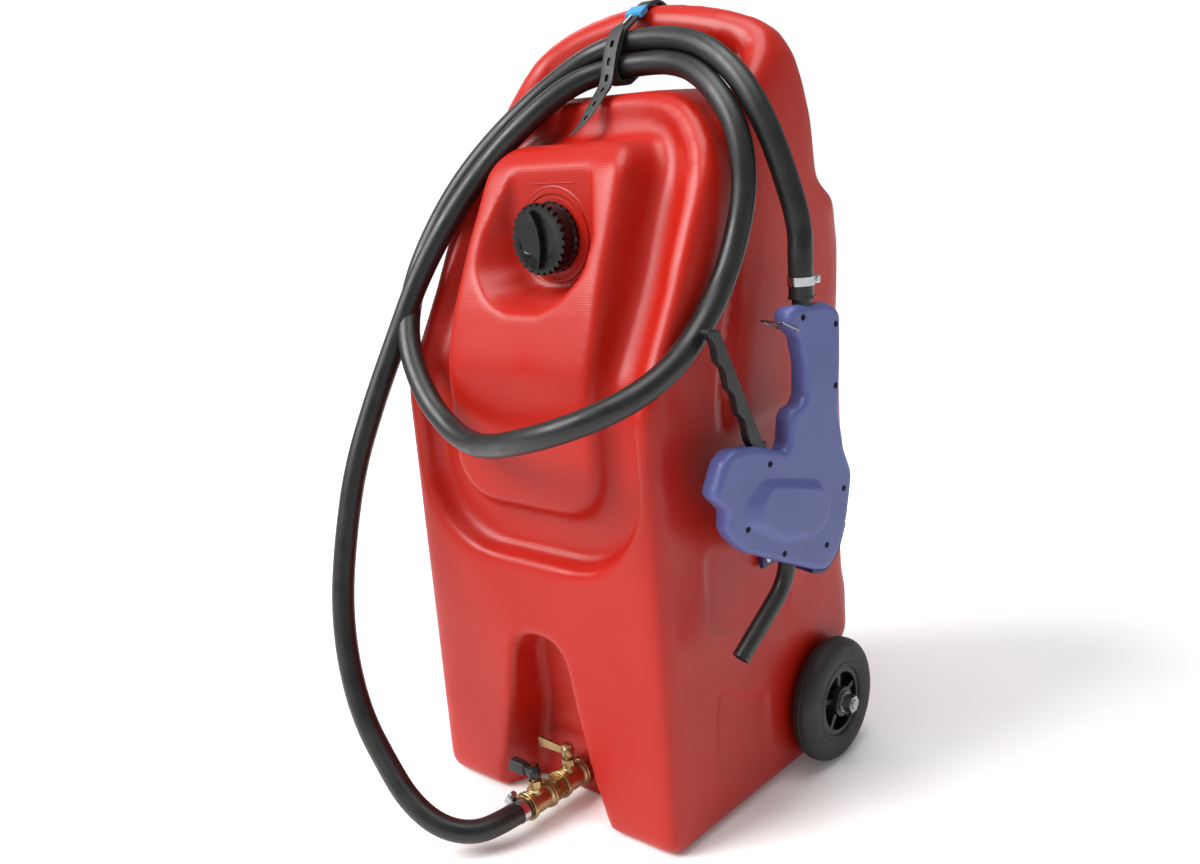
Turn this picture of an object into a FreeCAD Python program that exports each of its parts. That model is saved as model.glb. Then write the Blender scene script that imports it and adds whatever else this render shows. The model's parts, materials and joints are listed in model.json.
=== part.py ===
"""Wheeled outboard fuel tank with filler cap, outlet valves, hose and hand pump nozzle.

Millimetres, +Z up.  The origin is the middle of the tank's flat base, the front looks towards -Y
and +X is the tank's right side seen from the front.
"""
import FreeCAD, Part
import math
import os

V = FreeCAD.Vector

# ---------------------------------------------------------------- driving dimensions
# tank
TANK_WIDTH = 368.0
TANK_DEPTH = 384.0
BODY_HEIGHT = 806.0
HANDLE_HEIGHT = 903.0
WALL = 4.5
FRONT_CORNER = 28.0
REAR_CORNER = 25.0
TOP_CORNER = 115.0
FRAME_PROUD = 6.0
LEG_INSIDE = 150.0
BAR_SIZE = 48.0
BAR_BACK = 270.0
RECESS_FLOOR = 28.0
BLOCK_HALF = 112.0
BLOCK_TOP = 757.0
POCKET_BACK = 88.0
NOTCH_BACK = 56.0
DIMPLE_X = 69.0
DIMPLE_Z = 600.0
DIMPLE_RADIUS = 9.0
PANEL_DEPTH = 2.0

# filler
NECK_Z = 660.0
NECK_RADIUS = 30.0
NECK_BORE = 25.0
NECK_LENGTH = 17.5
FLANGE_RADIUS = 50.0
FLANGE_THICK = 3.0
CAP_RADIUS = 39.0
SKIRT_GAP = 0.8
CAP_TOP = 5.0
CAP_GAP = 0.6
CAP_RIBS = 26
GASKET_THICK = 2.5
GASKET_GAP = 0.3
WING_LENGTH = 60.0
WING_WIDTH = 12.0
WING_HEIGHT = 8.0
VENT_RADIUS = 3.0

# outlet
OUTLET_Z = 29.0
THREAD_RADIUS = 10.5
FLOW_RADIUS = 7.0
HEX_BUSHING = 30.0
HEX_NIPPLE = 26.0
VALVE_RADIUS = 15.0
VALVE_RING = 17.0
RING_LENGTH = 6.5
BALL_RADIUS = 11.0
BALL_GAP = 0.6
STEM_RADIUS = 4.0
STEM_GAP = 0.1
STEM_TOP = 74.0
LEVER_Z = 58.0
BRASS_LEVER = 47.0
BLACK_LEVER = 36.0
VALVE1_BACK = 52.0
VALVE1_HALF = 19.0
NIPPLE_HEX_LENGTH = 10.0
VALVE2_BACK_HALF = 28.0
VALVE2_FRONT_HALF = 18.0
BARB_LENGTH = 24.0
HOSE_STRAIGHT = 36.0

# hose
HOSE_RADIUS = 13.0
HOSE_BORE = 9.5
CLAMP_WIDTH = 9.0
CLAMP_BAND = 0.9

# running gear
AXLE_RADIUS = 6.0
AXLE_BACK = 292.0
AXLE_GAP = 0.3
WHEEL_RADIUS = 76.0
AXLE_Z = WHEEL_RADIUS
WHEEL_WIDTH = 32.0
WHEEL_SIDE_GAP = 4.0
RIM_RADIUS = 42.0
HUB_RADIUS = 18.0
BUSH_RADIUS = 9.0
BUSH_FIT = 0.05
SPOKES = 5
NUT_AF = 19.0
NUT_THICK = 12.0

# nozzle
NOZZLE_OUT = 80.0
NOZZLE_BACK = 185.0
NOZZLE_FOOT = 288.0
NOZZLE_YAW = 12.0
NOZZLE_THICK = 28.0
NOZZLE_SPLIT = 12.0
SHELL_WALL = 2.5
PAD_HEIGHT = 2.0
LEVER_PIVOT = (-74.0, 139.0)
LEVER_LENGTH = 163.0
LEVER_LEAN = 22.3
LEVER_WIDTH = 12.0
LEVER_THICK = 15.0
LEVER_ARM = 42.0
PIN_RADIUS = 3.0
SPOUT_RADIUS = 9.5
SPOUT_BORE = 7.5
PUMP_RADIUS = 11.0
PUMP_BORE = 8.5
PUMP_LENGTH = 40.0
PUMP_GAP = 0.1
SPRING_RADIUS = 5.6
SPRING_WIRE = 0.7
SPRING_PITCH = 1.5
TUBE_RADIUS = 6.0
CHECK_BALL = 4.0
LATCH_WIRE = 1.25
LATCH_REACH = 20.0

# fixing screws in the tank's wall
SCREW_BITE = 3.5

# strap
STRAP_X = 10.0
STRAP_WIDTH = 18.0
STRAP_THICK = 3.0
STRAP_GAP = 1.0
KEEPER_FRONT = 234.0
KEEPER_LENGTH = 13.0

HALF = TANK_WIDTH / 2
FRONT = -TANK_DEPTH / 2


def behind(distance):
    """Y of a point at a distance behind the tank's front face."""
    return FRONT + distance


# ---------------------------------------------------------------- helpers
def plane(u_axis, v_axis, origin=V(0, 0, 0)):
    """Placement that takes a flat outline's u, v and its depth w into space."""
    w_axis = u_axis.cross(v_axis)
    return FreeCAD.Placement(FreeCAD.Matrix(
        u_axis.x, v_axis.x, w_axis.x, origin.x,
        u_axis.y, v_axis.y, w_axis.y, origin.y,
        u_axis.z, v_axis.z, w_axis.z, origin.z,
        0, 0, 0, 1))


X_AXIS, Y_AXIS, Z_AXIS = V(1, 0, 0), V(0, 1, 0), V(0, 0, 1)
SIDE = plane(Y_AXIS, Z_AXIS)      # outline (y, z), depth along +X
FACE = plane(X_AXIS, Z_AXIS)      # outline (x, z), depth along -Y
PLAN = plane(X_AXIS, Y_AXIS)      # outline (x, y), depth along +Z


def outline(corners):
    """Closed wire of straight runs and corner arcs from (u, v, radius) corners."""
    points = [V(c[0], c[1], 0) for c in corners]
    radii = [c[2] if len(c) > 2 else 0.0 for c in corners]
    count = len(points)
    joints = []
    for i in range(count):
        before, here, after = points[i - 1], points[i], points[(i + 1) % count]
        back, ahead = before - here, after - here
        turn = math.pi - back.getAngle(ahead)
        room = 0.49 * min(back.Length, ahead.Length)
        if radii[i] <= 0 or turn < 1e-4:
            joints.append((here, None, here))
            continue
        reach = min(radii[i] * math.tan(turn / 2), room)
        radius = reach / math.tan(turn / 2)
        back.normalize()
        ahead.normalize()
        middle = back + ahead
        middle.normalize()
        apex = here + middle * (radius / math.cos(turn / 2) - radius)
        joints.append((here + back * reach, apex, here + ahead * reach))
    edges = []
    for i in range(count):
        start, apex, end = joints[i]
        if apex is not None:
            edges.append(Part.Arc(start, apex, end).toShape())
        following = joints[(i + 1) % count][0]
        if end.distanceToPoint(following) > 1e-6:
            edges.append(Part.LineSegment(end, following).toShape())
    return Part.Wire(edges)


def prism(corners, where, start, end, grow=0.0):
    """Solid between two depths of a flat outline, which may be grown or shrunk first."""
    face = Part.Face(outline(corners))
    if grow:
        face = face.makeOffset2D(grow)
    face.translate(V(0, 0, start))
    solid = face.extrude(V(0, 0, end - start))
    if solid.ShapeType != "Solid":
        solid = solid.Solids[0]
    solid.Placement = where
    return solid


def mirrored(corners):
    """Closed outline from its right half, listed upwards from the bottom."""
    return list(corners) + [(-c[0],) + tuple(c[1:]) for c in reversed(corners)]


def rod(radius, start, end):
    """Cylinder between two points."""
    axis = end - start
    return Part.makeCylinder(radius, axis.Length, start, axis)


def tube(outer, inner, start, end):
    """Hollow cylinder between two points."""
    return rod(outer, start, end).cut(rod(inner, start, end))


def box(low, high):
    """Box between two opposite corners."""
    size = high - low
    return Part.makeBox(size.x, size.y, size.z, low)


def hexagon(across_flats, start, end, up=Z_AXIS):
    """Hexagonal bar between two points, flats square to the up direction."""
    axis = end - start
    length = axis.Length
    axis.normalize()
    side = up.cross(axis)
    radius = across_flats / math.sqrt(3)
    points = []
    for i in range(6):
        angle = math.radians(60 * i)
        points.append(start + side * (radius * math.cos(angle)) + up * (radius * math.sin(angle)))
    face = Part.Face(Part.makePolygon(points + points[:1]))
    return face.extrude(axis * length)


def union(shapes):
    """One solid or compound from several shapes."""
    shapes = list(shapes)
    return shapes[0].fuse(shapes[1:]).removeSplitter() if len(shapes) > 1 else shapes[0]


def group(shapes):
    """Separate solids kept side by side in one sub-part."""
    return Part.makeCompound(list(shapes))


# ---------------------------------------------------------------- tank
BODY_SIDE = [
    (behind(0), 0, 16), (behind(0), 498, 60), (behind(62), 604, 200), (behind(118), 712, 150),
    (behind(150), BODY_HEIGHT - 41, 40), (behind(172), BODY_HEIGHT, 45), (behind(335), BODY_HEIGHT, 12),
    (behind(335), 700, 10), (behind(376), 672, 10), (behind(TANK_DEPTH), 640, 20),
    (behind(TANK_DEPTH), 590, 15), (behind(371), 560, 15), (behind(371), 470, 6),
    (behind(TANK_DEPTH), 461, 6), (behind(TANK_DEPTH), 352, 15), (behind(368), 335, 15),
    (behind(368), 215, 15), (behind(383), 195, 10), (behind(383), 132, 10),
    (behind(352), 114, 10), (behind(335), AXLE_Z, 20), (behind(328), 0, 10)]
BODY_FACE = mirrored([(HALF, 0, 18), (HALF, BODY_HEIGHT, TOP_CORNER)])
BODY_PLAN = [
    (-HALF, behind(0), FRONT_CORNER), (HALF, behind(0), FRONT_CORNER),
    (HALF, behind(TANK_DEPTH), REAR_CORNER), (-HALF, behind(TANK_DEPTH), REAR_CORNER)]
RECESS_FACE = mirrored([(166, 312, 105), (166, 600, 0)])
BLOCK_FACE = mirrored([(BLOCK_HALF, 366, 55), (BLOCK_HALF, 575, 200), (98, BLOCK_TOP, 38)])
BLOCK_SIDE = [
    (behind(0), 366, 14), (behind(0), 528, 40), (behind(25), 600, 200), (behind(46), 648, 200),
    (behind(POCKET_BACK), 736, 60), (behind(112), BLOCK_TOP, 12), (behind(170), BLOCK_TOP, 0),
    (behind(170), 366, 0)]
NOTCH_FACE = mirrored([(84, -10, 0), (61, 78, 80), (46, 145, 80), (32, 219, 32)])
NOTCH_SIDE = [
    (behind(-10), -10, 0), (behind(NOTCH_BACK), -10, 0), (behind(NOTCH_BACK), 100, 60),
    (behind(30), 240, 0), (behind(-10), 240, 0)]
POCKET_FACE = mirrored([(30, 583, 30), (64, 603, 20), (81, 650, 20), (59, 750, 0)])
FRAME_HALF = HALF + FRAME_PROUD
FRAME_SIDE = [
    (behind(132), 461, 20), (behind(132), 509, 60), (behind(181), 622, 80), (behind(190), 700, 60),
    (behind(190), 775, 60), (behind(225), 848, 60), (behind(BAR_BACK - 24), HANDLE_HEIGHT, 22),
    (behind(BAR_BACK + 24), HANDLE_HEIGHT, 22), (behind(312), 815, 40), (behind(331), 765, 30),
    (behind(335), 702, 10), (behind(370), 668, 10), (behind(378), 640, 20), (behind(378), 590, 15),
    (behind(366), 560, 15), (behind(366), 461, 6)]
FRAME_FACE = mirrored([
    (FRAME_HALF, 461, 4), (FRAME_HALF, HANDLE_HEIGHT - 58, 70), (120, HANDLE_HEIGHT - 13, 150),
    (30, HANDLE_HEIGHT, 200)])
BAR_Z = HANDLE_HEIGHT - BAR_SIZE / 2
OPENING_FACE = mirrored([(LEG_INSIDE, 640, 0), (LEG_INSIDE, HANDLE_HEIGHT - BAR_SIZE, 45)])
WIDE = HALF + 60
DEEP = TANK_DEPTH


def carrying_frame(inset):
    """Handle frame: two legs that stand proud of the body and a round bar between them."""
    legs = prism(FRAME_SIDE, SIDE, -WIDE, WIDE, -inset)
    legs = legs.common(prism(FRAME_FACE, FACE, -DEEP, DEEP, -inset))
    legs = legs.cut(prism(OPENING_FACE, FACE, -DEEP, DEEP, inset))
    reach = LEG_INSIDE - 20 + inset
    trim = box(V(-reach, -DEEP, BODY_HEIGHT), V(reach, DEEP, HANDLE_HEIGHT + 20))
    bar = rod(BAR_SIZE / 2 - inset, V(-LEG_INSIDE - 15, behind(BAR_BACK), BAR_Z),
              V(LEG_INSIDE + 15, behind(BAR_BACK), BAR_Z))
    return legs.cut(trim.cut(bar)).fuse(bar.common(prism(FRAME_FACE, FACE, -DEEP, DEEP, -inset)))


def tank_form(inset):
    """Tank's form with its surface moved inwards by inset."""
    form = prism(BODY_SIDE, SIDE, -WIDE, WIDE, -inset)
    form = form.common(prism(BODY_FACE, FACE, -DEEP, DEEP, -inset))
    form = form.common(prism(BODY_PLAN, PLAN, -10, HANDLE_HEIGHT, -inset))
    form = form.cut(prism(RECESS_FACE, FACE, -behind(RECESS_FLOOR + inset), DEEP, inset))
    block = prism(BLOCK_FACE, FACE, -DEEP, DEEP, -inset)
    block = block.common(prism(BLOCK_SIDE, SIDE, -WIDE, WIDE, -inset))
    form = form.fuse([block, carrying_frame(inset)])
    form = form.cut(prism(POCKET_FACE, FACE, -behind(POCKET_BACK + inset), DEEP, inset))
    notch = prism(NOTCH_FACE, FACE, -DEEP, DEEP, inset)
    notch = notch.common(prism(NOTCH_SIDE, SIDE, -WIDE, WIDE, inset))
    form = form.cut(notch)
    slope = behind(25)
    for side in (-1, 1):
        centre = V(side * DIMPLE_X, slope - DIMPLE_RADIUS / 2, DIMPLE_Z)
        form = form.cut(Part.makeSphere(DIMPLE_RADIUS + inset, centre))
    return form


def side_panels():
    """Shallow sunk panels low on each side of the tank."""
    upper = [(behind(76), 240, 8), (behind(236), 176, 8), (behind(240), 280, 8), (behind(80), 333, 8)]
    lower = [(behind(80), 62, 8), (behind(182), 18, 8), (behind(186), 124, 8), (behind(88), 168, 8)]
    cuts = []
    for corners in (upper, lower):
        cuts.append(prism(corners, SIDE, HALF - PANEL_DEPTH, WIDE))
        cuts.append(prism(corners, SIDE, -WIDE, -HALF + PANEL_DEPTH))
    return cuts


def tank_body():
    """Hollow moulded tank with its axle tunnel and outlet boss."""
    solid = tank_form(0).cut(tank_form(WALL))
    axle = [V(-WIDE, behind(AXLE_BACK), AXLE_Z), V(WIDE, behind(AXLE_BACK), AXLE_Z)]
    sleeve = rod(AXLE_RADIUS + 6, V(-HALF + 1, axle[0].y, AXLE_Z), V(HALF - 1, axle[0].y, AXLE_Z))
    boss = rod(THREAD_RADIUS + 5, V(0, behind(NOTCH_BACK + 1), OUTLET_Z),
               V(0, behind(NOTCH_BACK + 20), OUTLET_Z))
    solid = solid.fuse([sleeve, boss])
    solid = solid.cut(rod(AXLE_RADIUS + AXLE_GAP, axle[0], axle[1]))
    solid = solid.cut(rod(THREAD_RADIUS, V(0, behind(NOTCH_BACK - 5), OUTLET_Z),
                          V(0, behind(NOTCH_BACK + 40), OUTLET_Z)))
    solid = solid.cut(rod(NECK_RADIUS, V(0, behind(POCKET_BACK - 5), NECK_Z),
                          V(0, behind(POCKET_BACK + WALL + 5), NECK_Z)))
    holes = [rod(2.5, spot - V(SCREW_BITE, 0, 0), spot) for spot in holder_spots()]
    return solid.cut(side_panels() + holes).removeSplitter()


# ---------------------------------------------------------------- filler neck and cap
NECK_FRONT = behind(POCKET_BACK - FLANGE_THICK - NECK_LENGTH)
GASKET_BACK = NECK_FRONT - GASKET_GAP
GASKET_FRONT = GASKET_BACK - GASKET_THICK
CAP_INNER = GASKET_FRONT - GASKET_GAP
CAP_FRONT = CAP_INNER - CAP_TOP
CAP_BACK = behind(POCKET_BACK - FLANGE_THICK) - SKIRT_GAP


def on_neck(y):
    """Point on the filler neck's axis."""
    return V(0, y, NECK_Z)


def filler_neck():
    """Neck ring set into the tank, with a flat flange against the pocket's back."""
    flange = rod(FLANGE_RADIUS, on_neck(behind(POCKET_BACK - FLANGE_THICK)), on_neck(behind(POCKET_BACK)))
    neck = rod(NECK_RADIUS, on_neck(NECK_FRONT), on_neck(behind(POCKET_BACK + WALL)))
    bore = rod(NECK_BORE, on_neck(NECK_FRONT - 1), on_neck(behind(POCKET_BACK + WALL + 1)))
    return union([flange, neck]).cut(bore)


def filler_cap():
    """Ribbed screw cap with a sunk face and a wing grip across it."""
    cap = rod(CAP_RADIUS, on_neck(CAP_FRONT), on_neck(CAP_BACK))
    cap = cap.makeFillet(3, [cap.Edges[i] for i in range(len(cap.Edges))
                             if cap.Edges[i].Length > 100 and cap.Edges[i].CenterOfMass.y < CAP_FRONT + 1])
    cap = cap.cut(rod(NECK_RADIUS + CAP_GAP, on_neck(CAP_INNER), on_neck(CAP_BACK + 1)))
    dish = CAP_RADIUS - 8
    cap = cap.cut(rod(dish, on_neck(CAP_FRONT - 1), on_neck(CAP_FRONT + 2)))
    wing = box(V(-WING_WIDTH / 2, CAP_FRONT + 2 - WING_HEIGHT, NECK_Z - WING_LENGTH / 2),
               V(WING_WIDTH / 2, CAP_FRONT + 2.5, NECK_Z + WING_LENGTH / 2))
    wing = wing.makeFillet(3, [e for e in wing.Edges if e.CenterOfMass.y < CAP_FRONT + 1])
    cap = cap.fuse(wing)
    notches = []
    for i in range(CAP_RIBS):
        angle = 2 * math.pi * i / CAP_RIBS
        spot = V((CAP_RADIUS + 0.6) * math.cos(angle), 0, (CAP_RADIUS + 0.6) * math.sin(angle))
        notches.append(rod(2.4, on_neck(CAP_FRONT + 4) + spot, on_neck(CAP_BACK + 1) + spot))
    cap = cap.cut(notches)
    vent = on_neck(CAP_INNER)
    cap = cap.cut(rod(VENT_RADIUS + 0.3, vent + V(0, 1, 0), vent - V(0, 9, 0)))
    cap = cap.cut(rod(1.2, vent, vent - V(0, 20, 0)))
    return cap.removeSplitter()


def cap_gasket():
    """Flat sealing ring carried under the cap."""
    return tube(NECK_RADIUS + CAP_GAP - 0.3, NECK_BORE, on_neck(GASKET_FRONT), on_neck(GASKET_BACK))


def cap_vent_poppet():
    """Mushroom poppet of the cap's vent, its head under the cap."""
    head = rod(VENT_RADIUS * 2, on_neck(CAP_INNER + 0.3), on_neck(CAP_INNER + 2.3))
    stem = rod(VENT_RADIUS, on_neck(CAP_INNER - 8), on_neck(CAP_INNER + 2.3))
    return union([head, stem])


# ---------------------------------------------------------------- outlet valves
def on_outlet(distance):
    """Point on the outlet's axis at a distance behind the tank's front."""
    return V(0, behind(distance), OUTLET_Z)


def outlet_bushing():
    """Threaded bushing that carries the first valve on the notch's back wall."""
    head = hexagon(HEX_BUSHING, on_outlet(VALVE1_BACK), on_outlet(NOTCH_BACK))
    thread = rod(THREAD_RADIUS, on_outlet(VALVE1_BACK - RING_LENGTH), on_outlet(NOTCH_BACK + 22))
    return union([head, thread]).cut(rod(FLOW_RADIUS, on_outlet(0), on_outlet(NOTCH_BACK + 30)))


VALVE1_CENTRE = VALVE1_BACK - VALVE1_HALF
NIPPLE_BACK = VALVE1_CENTRE - VALVE1_HALF
VALVE2_BACK = NIPPLE_BACK - NIPPLE_HEX_LENGTH
VALVE2_CENTRE = VALVE2_BACK - VALVE2_BACK_HALF
VALVE2_FRONT = VALVE2_CENTRE - VALVE2_FRONT_HALF
SEAT_INNER = 8.0
SEAT_OUTER = 11.3
BONNET_TOP = 47.0
GLAND_TOP = 55.0


def valve_body(centre, back_half, front_half):
    """Ball valve body with ringed ends and a bonnet for the stem."""
    back, front = centre + back_half, centre - front_half
    shell = rod(VALVE_RADIUS, on_outlet(front), on_outlet(back))
    rings = [rod(VALVE_RING, on_outlet(front), on_outlet(front + RING_LENGTH)),
             rod(VALVE_RING, on_outlet(back - RING_LENGTH), on_outlet(back))]
    axis = V(0, behind(centre), 0)
    bonnet = rod(7.5, axis + V(0, 0, OUTLET_Z), axis + V(0, 0, BONNET_TOP))
    body = union([shell] + rings + [bonnet])
    body = body.cut(rod(FLOW_RADIUS, on_outlet(front - 1), on_outlet(back + 1)))
    body = body.cut(Part.makeSphere(BALL_RADIUS + BALL_GAP, on_outlet(centre)))
    for end, other in ((front, front + RING_LENGTH), (back - RING_LENGTH, back)):
        body = body.cut(rod(THREAD_RADIUS, on_outlet(end), on_outlet(other)))
    seat = BALL_RADIUS + BALL_GAP
    body = body.cut(rod(seat, on_outlet(centre - SEAT_OUTER), on_outlet(centre + SEAT_OUTER)))
    stem = rod(STEM_RADIUS + STEM_GAP, axis + V(0, 0, OUTLET_Z), axis + V(0, 0, BONNET_TOP + 1))
    return body.cut(stem)


def valve_ball(centre):
    """Bored ball with a slot for the stem's tang."""
    ball = Part.makeSphere(BALL_RADIUS, on_outlet(centre))
    ball = ball.cut(rod(FLOW_RADIUS, on_outlet(centre - 15), on_outlet(centre + 15)))
    return ball.cut(rod(STEM_RADIUS, on_outlet(centre) + V(0, 0, 8.5), on_outlet(centre) + V(0, 0, 20)))


def valve_seats(centre):
    """Two soft seat rings, one each side of the ball."""
    rings = []
    for side in (-1, 1):
        ring = tube(BALL_RADIUS + BALL_GAP, FLOW_RADIUS, on_outlet(centre + side * SEAT_INNER),
                    on_outlet(centre + side * SEAT_OUTER))
        rings.append(ring.cut(Part.makeSphere(BALL_RADIUS + 0.05, on_outlet(centre))))
    return group(rings)


def valve_stem(centre):
    """Stem from the ball up to the lever."""
    axis = V(0, behind(centre), 0)
    return rod(STEM_RADIUS, axis + V(0, 0, OUTLET_Z + 8.5), axis + V(0, 0, STEM_TOP))


def valve_gland(centre):
    """Hexagonal gland nut round the stem."""
    axis = V(0, behind(centre), 0)
    nut = hexagon(14, axis + V(0, 0, BONNET_TOP), axis + V(0, 0, GLAND_TOP), Y_AXIS)
    return nut.cut(rod(STEM_RADIUS + STEM_GAP, axis, axis + V(0, 0, STEM_TOP)))


def valve_lever(centre, length, tip_height, root_height, hub_radius, blade):
    """Lever with a hub on the stem and a blade towards -X."""
    axis = V(0, behind(centre), 0)
    hub = rod(hub_radius, axis + V(0, 0, LEVER_Z), axis + V(0, 0, LEVER_Z + 12))
    corners = [(0, LEVER_Z, 0), (0, LEVER_Z + root_height, 0),
               (-length, LEVER_Z + 5 + tip_height / 2, 4), (-length, LEVER_Z + 5 - tip_height / 2, 4)]
    arm = prism(corners, FACE, -axis.y - blade / 2, -axis.y + blade / 2)
    lever = union([hub, arm])
    return lever.cut(rod(STEM_RADIUS, axis + V(0, 0, LEVER_Z - 5), axis + V(0, 0, STEM_TOP + 5)))


def valve_nut(centre):
    """Nut that holds the lever on the stem."""
    axis = V(0, behind(centre), 0)
    nut = hexagon(11, axis + V(0, 0, LEVER_Z + 12), axis + V(0, 0, LEVER_Z + 15.5), Y_AXIS)
    return nut.cut(rod(STEM_RADIUS, axis, axis + V(0, 0, STEM_TOP + 5)))


def hex_nipple():
    """Nipple between the two valves."""
    body = hexagon(HEX_NIPPLE, on_outlet(VALVE2_BACK), on_outlet(NIPPLE_BACK))
    thread = rod(THREAD_RADIUS, on_outlet(VALVE2_BACK - RING_LENGTH), on_outlet(NIPPLE_BACK + RING_LENGTH))
    return union([body, thread]).cut(rod(FLOW_RADIUS, on_outlet(-60), on_outlet(60)))


BARB_FLANGE = 2.0
HOSE_START = VALVE2_FRONT - BARB_FLANGE


def hose_barb():
    """Barbed tail that the hose is pushed on."""
    flange = hexagon(24, on_outlet(HOSE_START), on_outlet(VALVE2_FRONT))
    thread = rod(THREAD_RADIUS, on_outlet(VALVE2_FRONT), on_outlet(VALVE2_FRONT + RING_LENGTH))
    parts = [flange, thread, rod(7.4, on_outlet(HOSE_START - BARB_LENGTH + 2), on_outlet(HOSE_START))]
    barb = 6.0
    for i in range(3):
        tail = on_outlet(HOSE_START - BARB_LENGTH + 2 + barb * i)
        parts.append(Part.makeCone(7.0, HOSE_BORE - 0.05, barb, tail, Y_AXIS))
    return union(parts).cut(rod(5.0, on_outlet(-100), on_outlet(60)))


def worm_clamp(centre, axis, out):
    """Clamp band with its screw housing, round a hose along the axis."""
    start = centre - axis * (CLAMP_WIDTH / 2)
    end = centre + axis * (CLAMP_WIDTH / 2)
    band = tube(HOSE_RADIUS + CLAMP_BAND + 0.05, HOSE_RADIUS + 0.05, start, end)
    cross = axis.cross(out)
    spot = plane(cross, axis, centre + out * (HOSE_RADIUS + CLAMP_BAND))
    half = CLAMP_WIDTH / 2
    housing = prism([(-7, -half, 2), (7, -half, 2), (7, half, 2), (-7, half, 2)], spot, -7.5, 0.5)
    housing.Placement = plane(cross, axis, centre + out * (HOSE_RADIUS + CLAMP_BAND + 7))
    housing = housing.cut(rod(HOSE_RADIUS + 0.05, start - axis * 5, end + axis * 5))
    middle = centre + out * (HOSE_RADIUS + CLAMP_BAND + 3.6)
    housing = housing.cut(rod(2.6, middle - cross * 9, middle + cross * 9))
    screw = union([rod(2.5, middle - cross * 8, middle + cross * 8),
                   hexagon(7, middle + cross * 8, middle + cross * 12, out)])
    slot = box(V(-0.5, -4, -1.5), V(0.5, 4, 0.5))
    slot.Placement = plane(out, axis, middle + cross * 12)
    return union([band, housing]), screw.cut(slot)


# ---------------------------------------------------------------- nozzle
YAW = math.radians(NOZZLE_YAW)
NOZZLE_U = V(math.sin(YAW), math.cos(YAW), 0)
NOZZLE_N = V(math.cos(YAW), -math.sin(YAW), 0)
NOZZLE_ORIGIN = V(HALF + NOZZLE_OUT, behind(NOZZLE_BACK), NOZZLE_FOOT)
NOZZLE = plane(NOZZLE_U, Z_AXIS, NOZZLE_ORIGIN)   # depth 0 is the outer face
MID = -NOZZLE_THICK / 2
HOUSING = [
    (-30, 294, 12), (-36, 290, 5), (-39, 280, 5), (-34, 270, 8), (-22, 258, 10), (-16, 229, 30),
    (-18, 198, 10), (-24, 191, 5), (-36, 188, 5), (-42, 178, 10), (-45, 153, 10), (-50, 147, 5),
    (-87, 160, 20), (-127, 164, 20), (-142, 153, 15), (-157, 126, 8), (-157, 118, 4), (-135, 99, 10),
    (-137, 82, 10), (-129, 68, 15), (-112, 53, 20), (-59, 27, 60), (-9, 4, 20), (8, 0, 15),
    (27, 19, 30), (41, 52, 60), (51, 101, 30), (39, 131, 40), (33, 174, 60), (37, 225, 80),
    (39, 279, 15), (21, 291, 15)]
PAD = [(-125, 90, 10), (-93, 129, 15), (-40, 118, 20), (6, 96, 10), (12, 60, 15), (-20, 30, 15),
       (-60, 50, 20)]
SCREW_SPOTS = [(-19, 281), (29, 267), (26, 202), (34, 87), (-109, 78), (5, 30), (-59, 38)]


def at_nozzle(u, v, depth=MID):
    """Point in space from the nozzle's own u, v and depth."""
    return NOZZLE_ORIGIN + NOZZLE_U * u + Z_AXIS * v + NOZZLE_N * depth


def nozzle_rod(radius, spot, start, end):
    """Cylinder square to the nozzle's faces."""
    return rod(radius, at_nozzle(spot[0], spot[1], start), at_nozzle(spot[0], spot[1], end))


def housing_shell(start, end, floor_start, floor_end):
    """One half of the housing: outer prism less the room inside."""
    outer = prism(HOUSING, NOZZLE, start, end)
    return outer.cut(prism(HOUSING, NOZZLE, floor_start, floor_end, -SHELL_WALL))


def lever_slot():
    """Room in the housing's top edge for the lever to swing in."""
    u, v = LEVER_PIVOT
    corners = [(u - 22, v + 7, 0), (u + 22, v + 7, 0), (u + 22, v + 60, 0), (u - 22, v + 60, 0)]
    half = LEVER_WIDTH / 2 + 0.6
    return prism(corners, NOZZLE, MID - half, MID + half)


def spout_hole(extra):
    """Straight inner end of the spout, with room round it."""
    return rod(SPOUT_RADIUS + extra, at_nozzle(CHEST_U, 42), at_nozzle(-46, -2))


def inlet_hole(extra):
    """Round way in for the inlet at the grip's top."""
    return rod(TUBE_RADIUS + 4 + extra, at_nozzle(INLET_U, 286), at_nozzle(INLET_U, 300))


INLET_U = -6.0


def openings_cut(shell):
    """Cut the ways in and out of a housing half."""
    latch = nozzle_rod(LATCH_WIRE + 0.3, LATCH_SPOT, -NOZZLE_THICK - 1, 1)
    return shell.cut([lever_slot(), spout_hole(0.6), inlet_hole(0.3), latch])


LATCH_SPOT = (-29.0, 270.0)


def housing_outer():
    """Outer half of the nozzle's housing, with a raised pad and sunk screw seats."""
    shell = housing_shell(-NOZZLE_SPLIT, 0, -NOZZLE_SPLIT - 1, -SHELL_WALL)
    pad = prism(PAD, NOZZLE, -1, PAD_HEIGHT)
    bosses = [nozzle_rod(4.2, s, -NOZZLE_SPLIT, -1) for s in SCREW_SPOTS]
    shell = union([shell, pad] + bosses)
    for spot in SCREW_SPOTS:
        shell = shell.cut(nozzle_rod(3.3, spot, -1.8, PAD_HEIGHT + 1))
        shell = shell.cut(nozzle_rod(1.6, spot, -NOZZLE_SPLIT - 1, 0))
    pin = nozzle_rod(PIN_RADIUS, LEVER_PIVOT, -NOZZLE_SPLIT - 1, -SHELL_WALL)
    shell = shell.fuse(nozzle_rod(PIN_RADIUS + 1.5, LEVER_PIVOT, MID + LEVER_WIDTH / 2 + 0.6, -1))
    return openings_cut(shell).cut(pin).removeSplitter()


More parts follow.
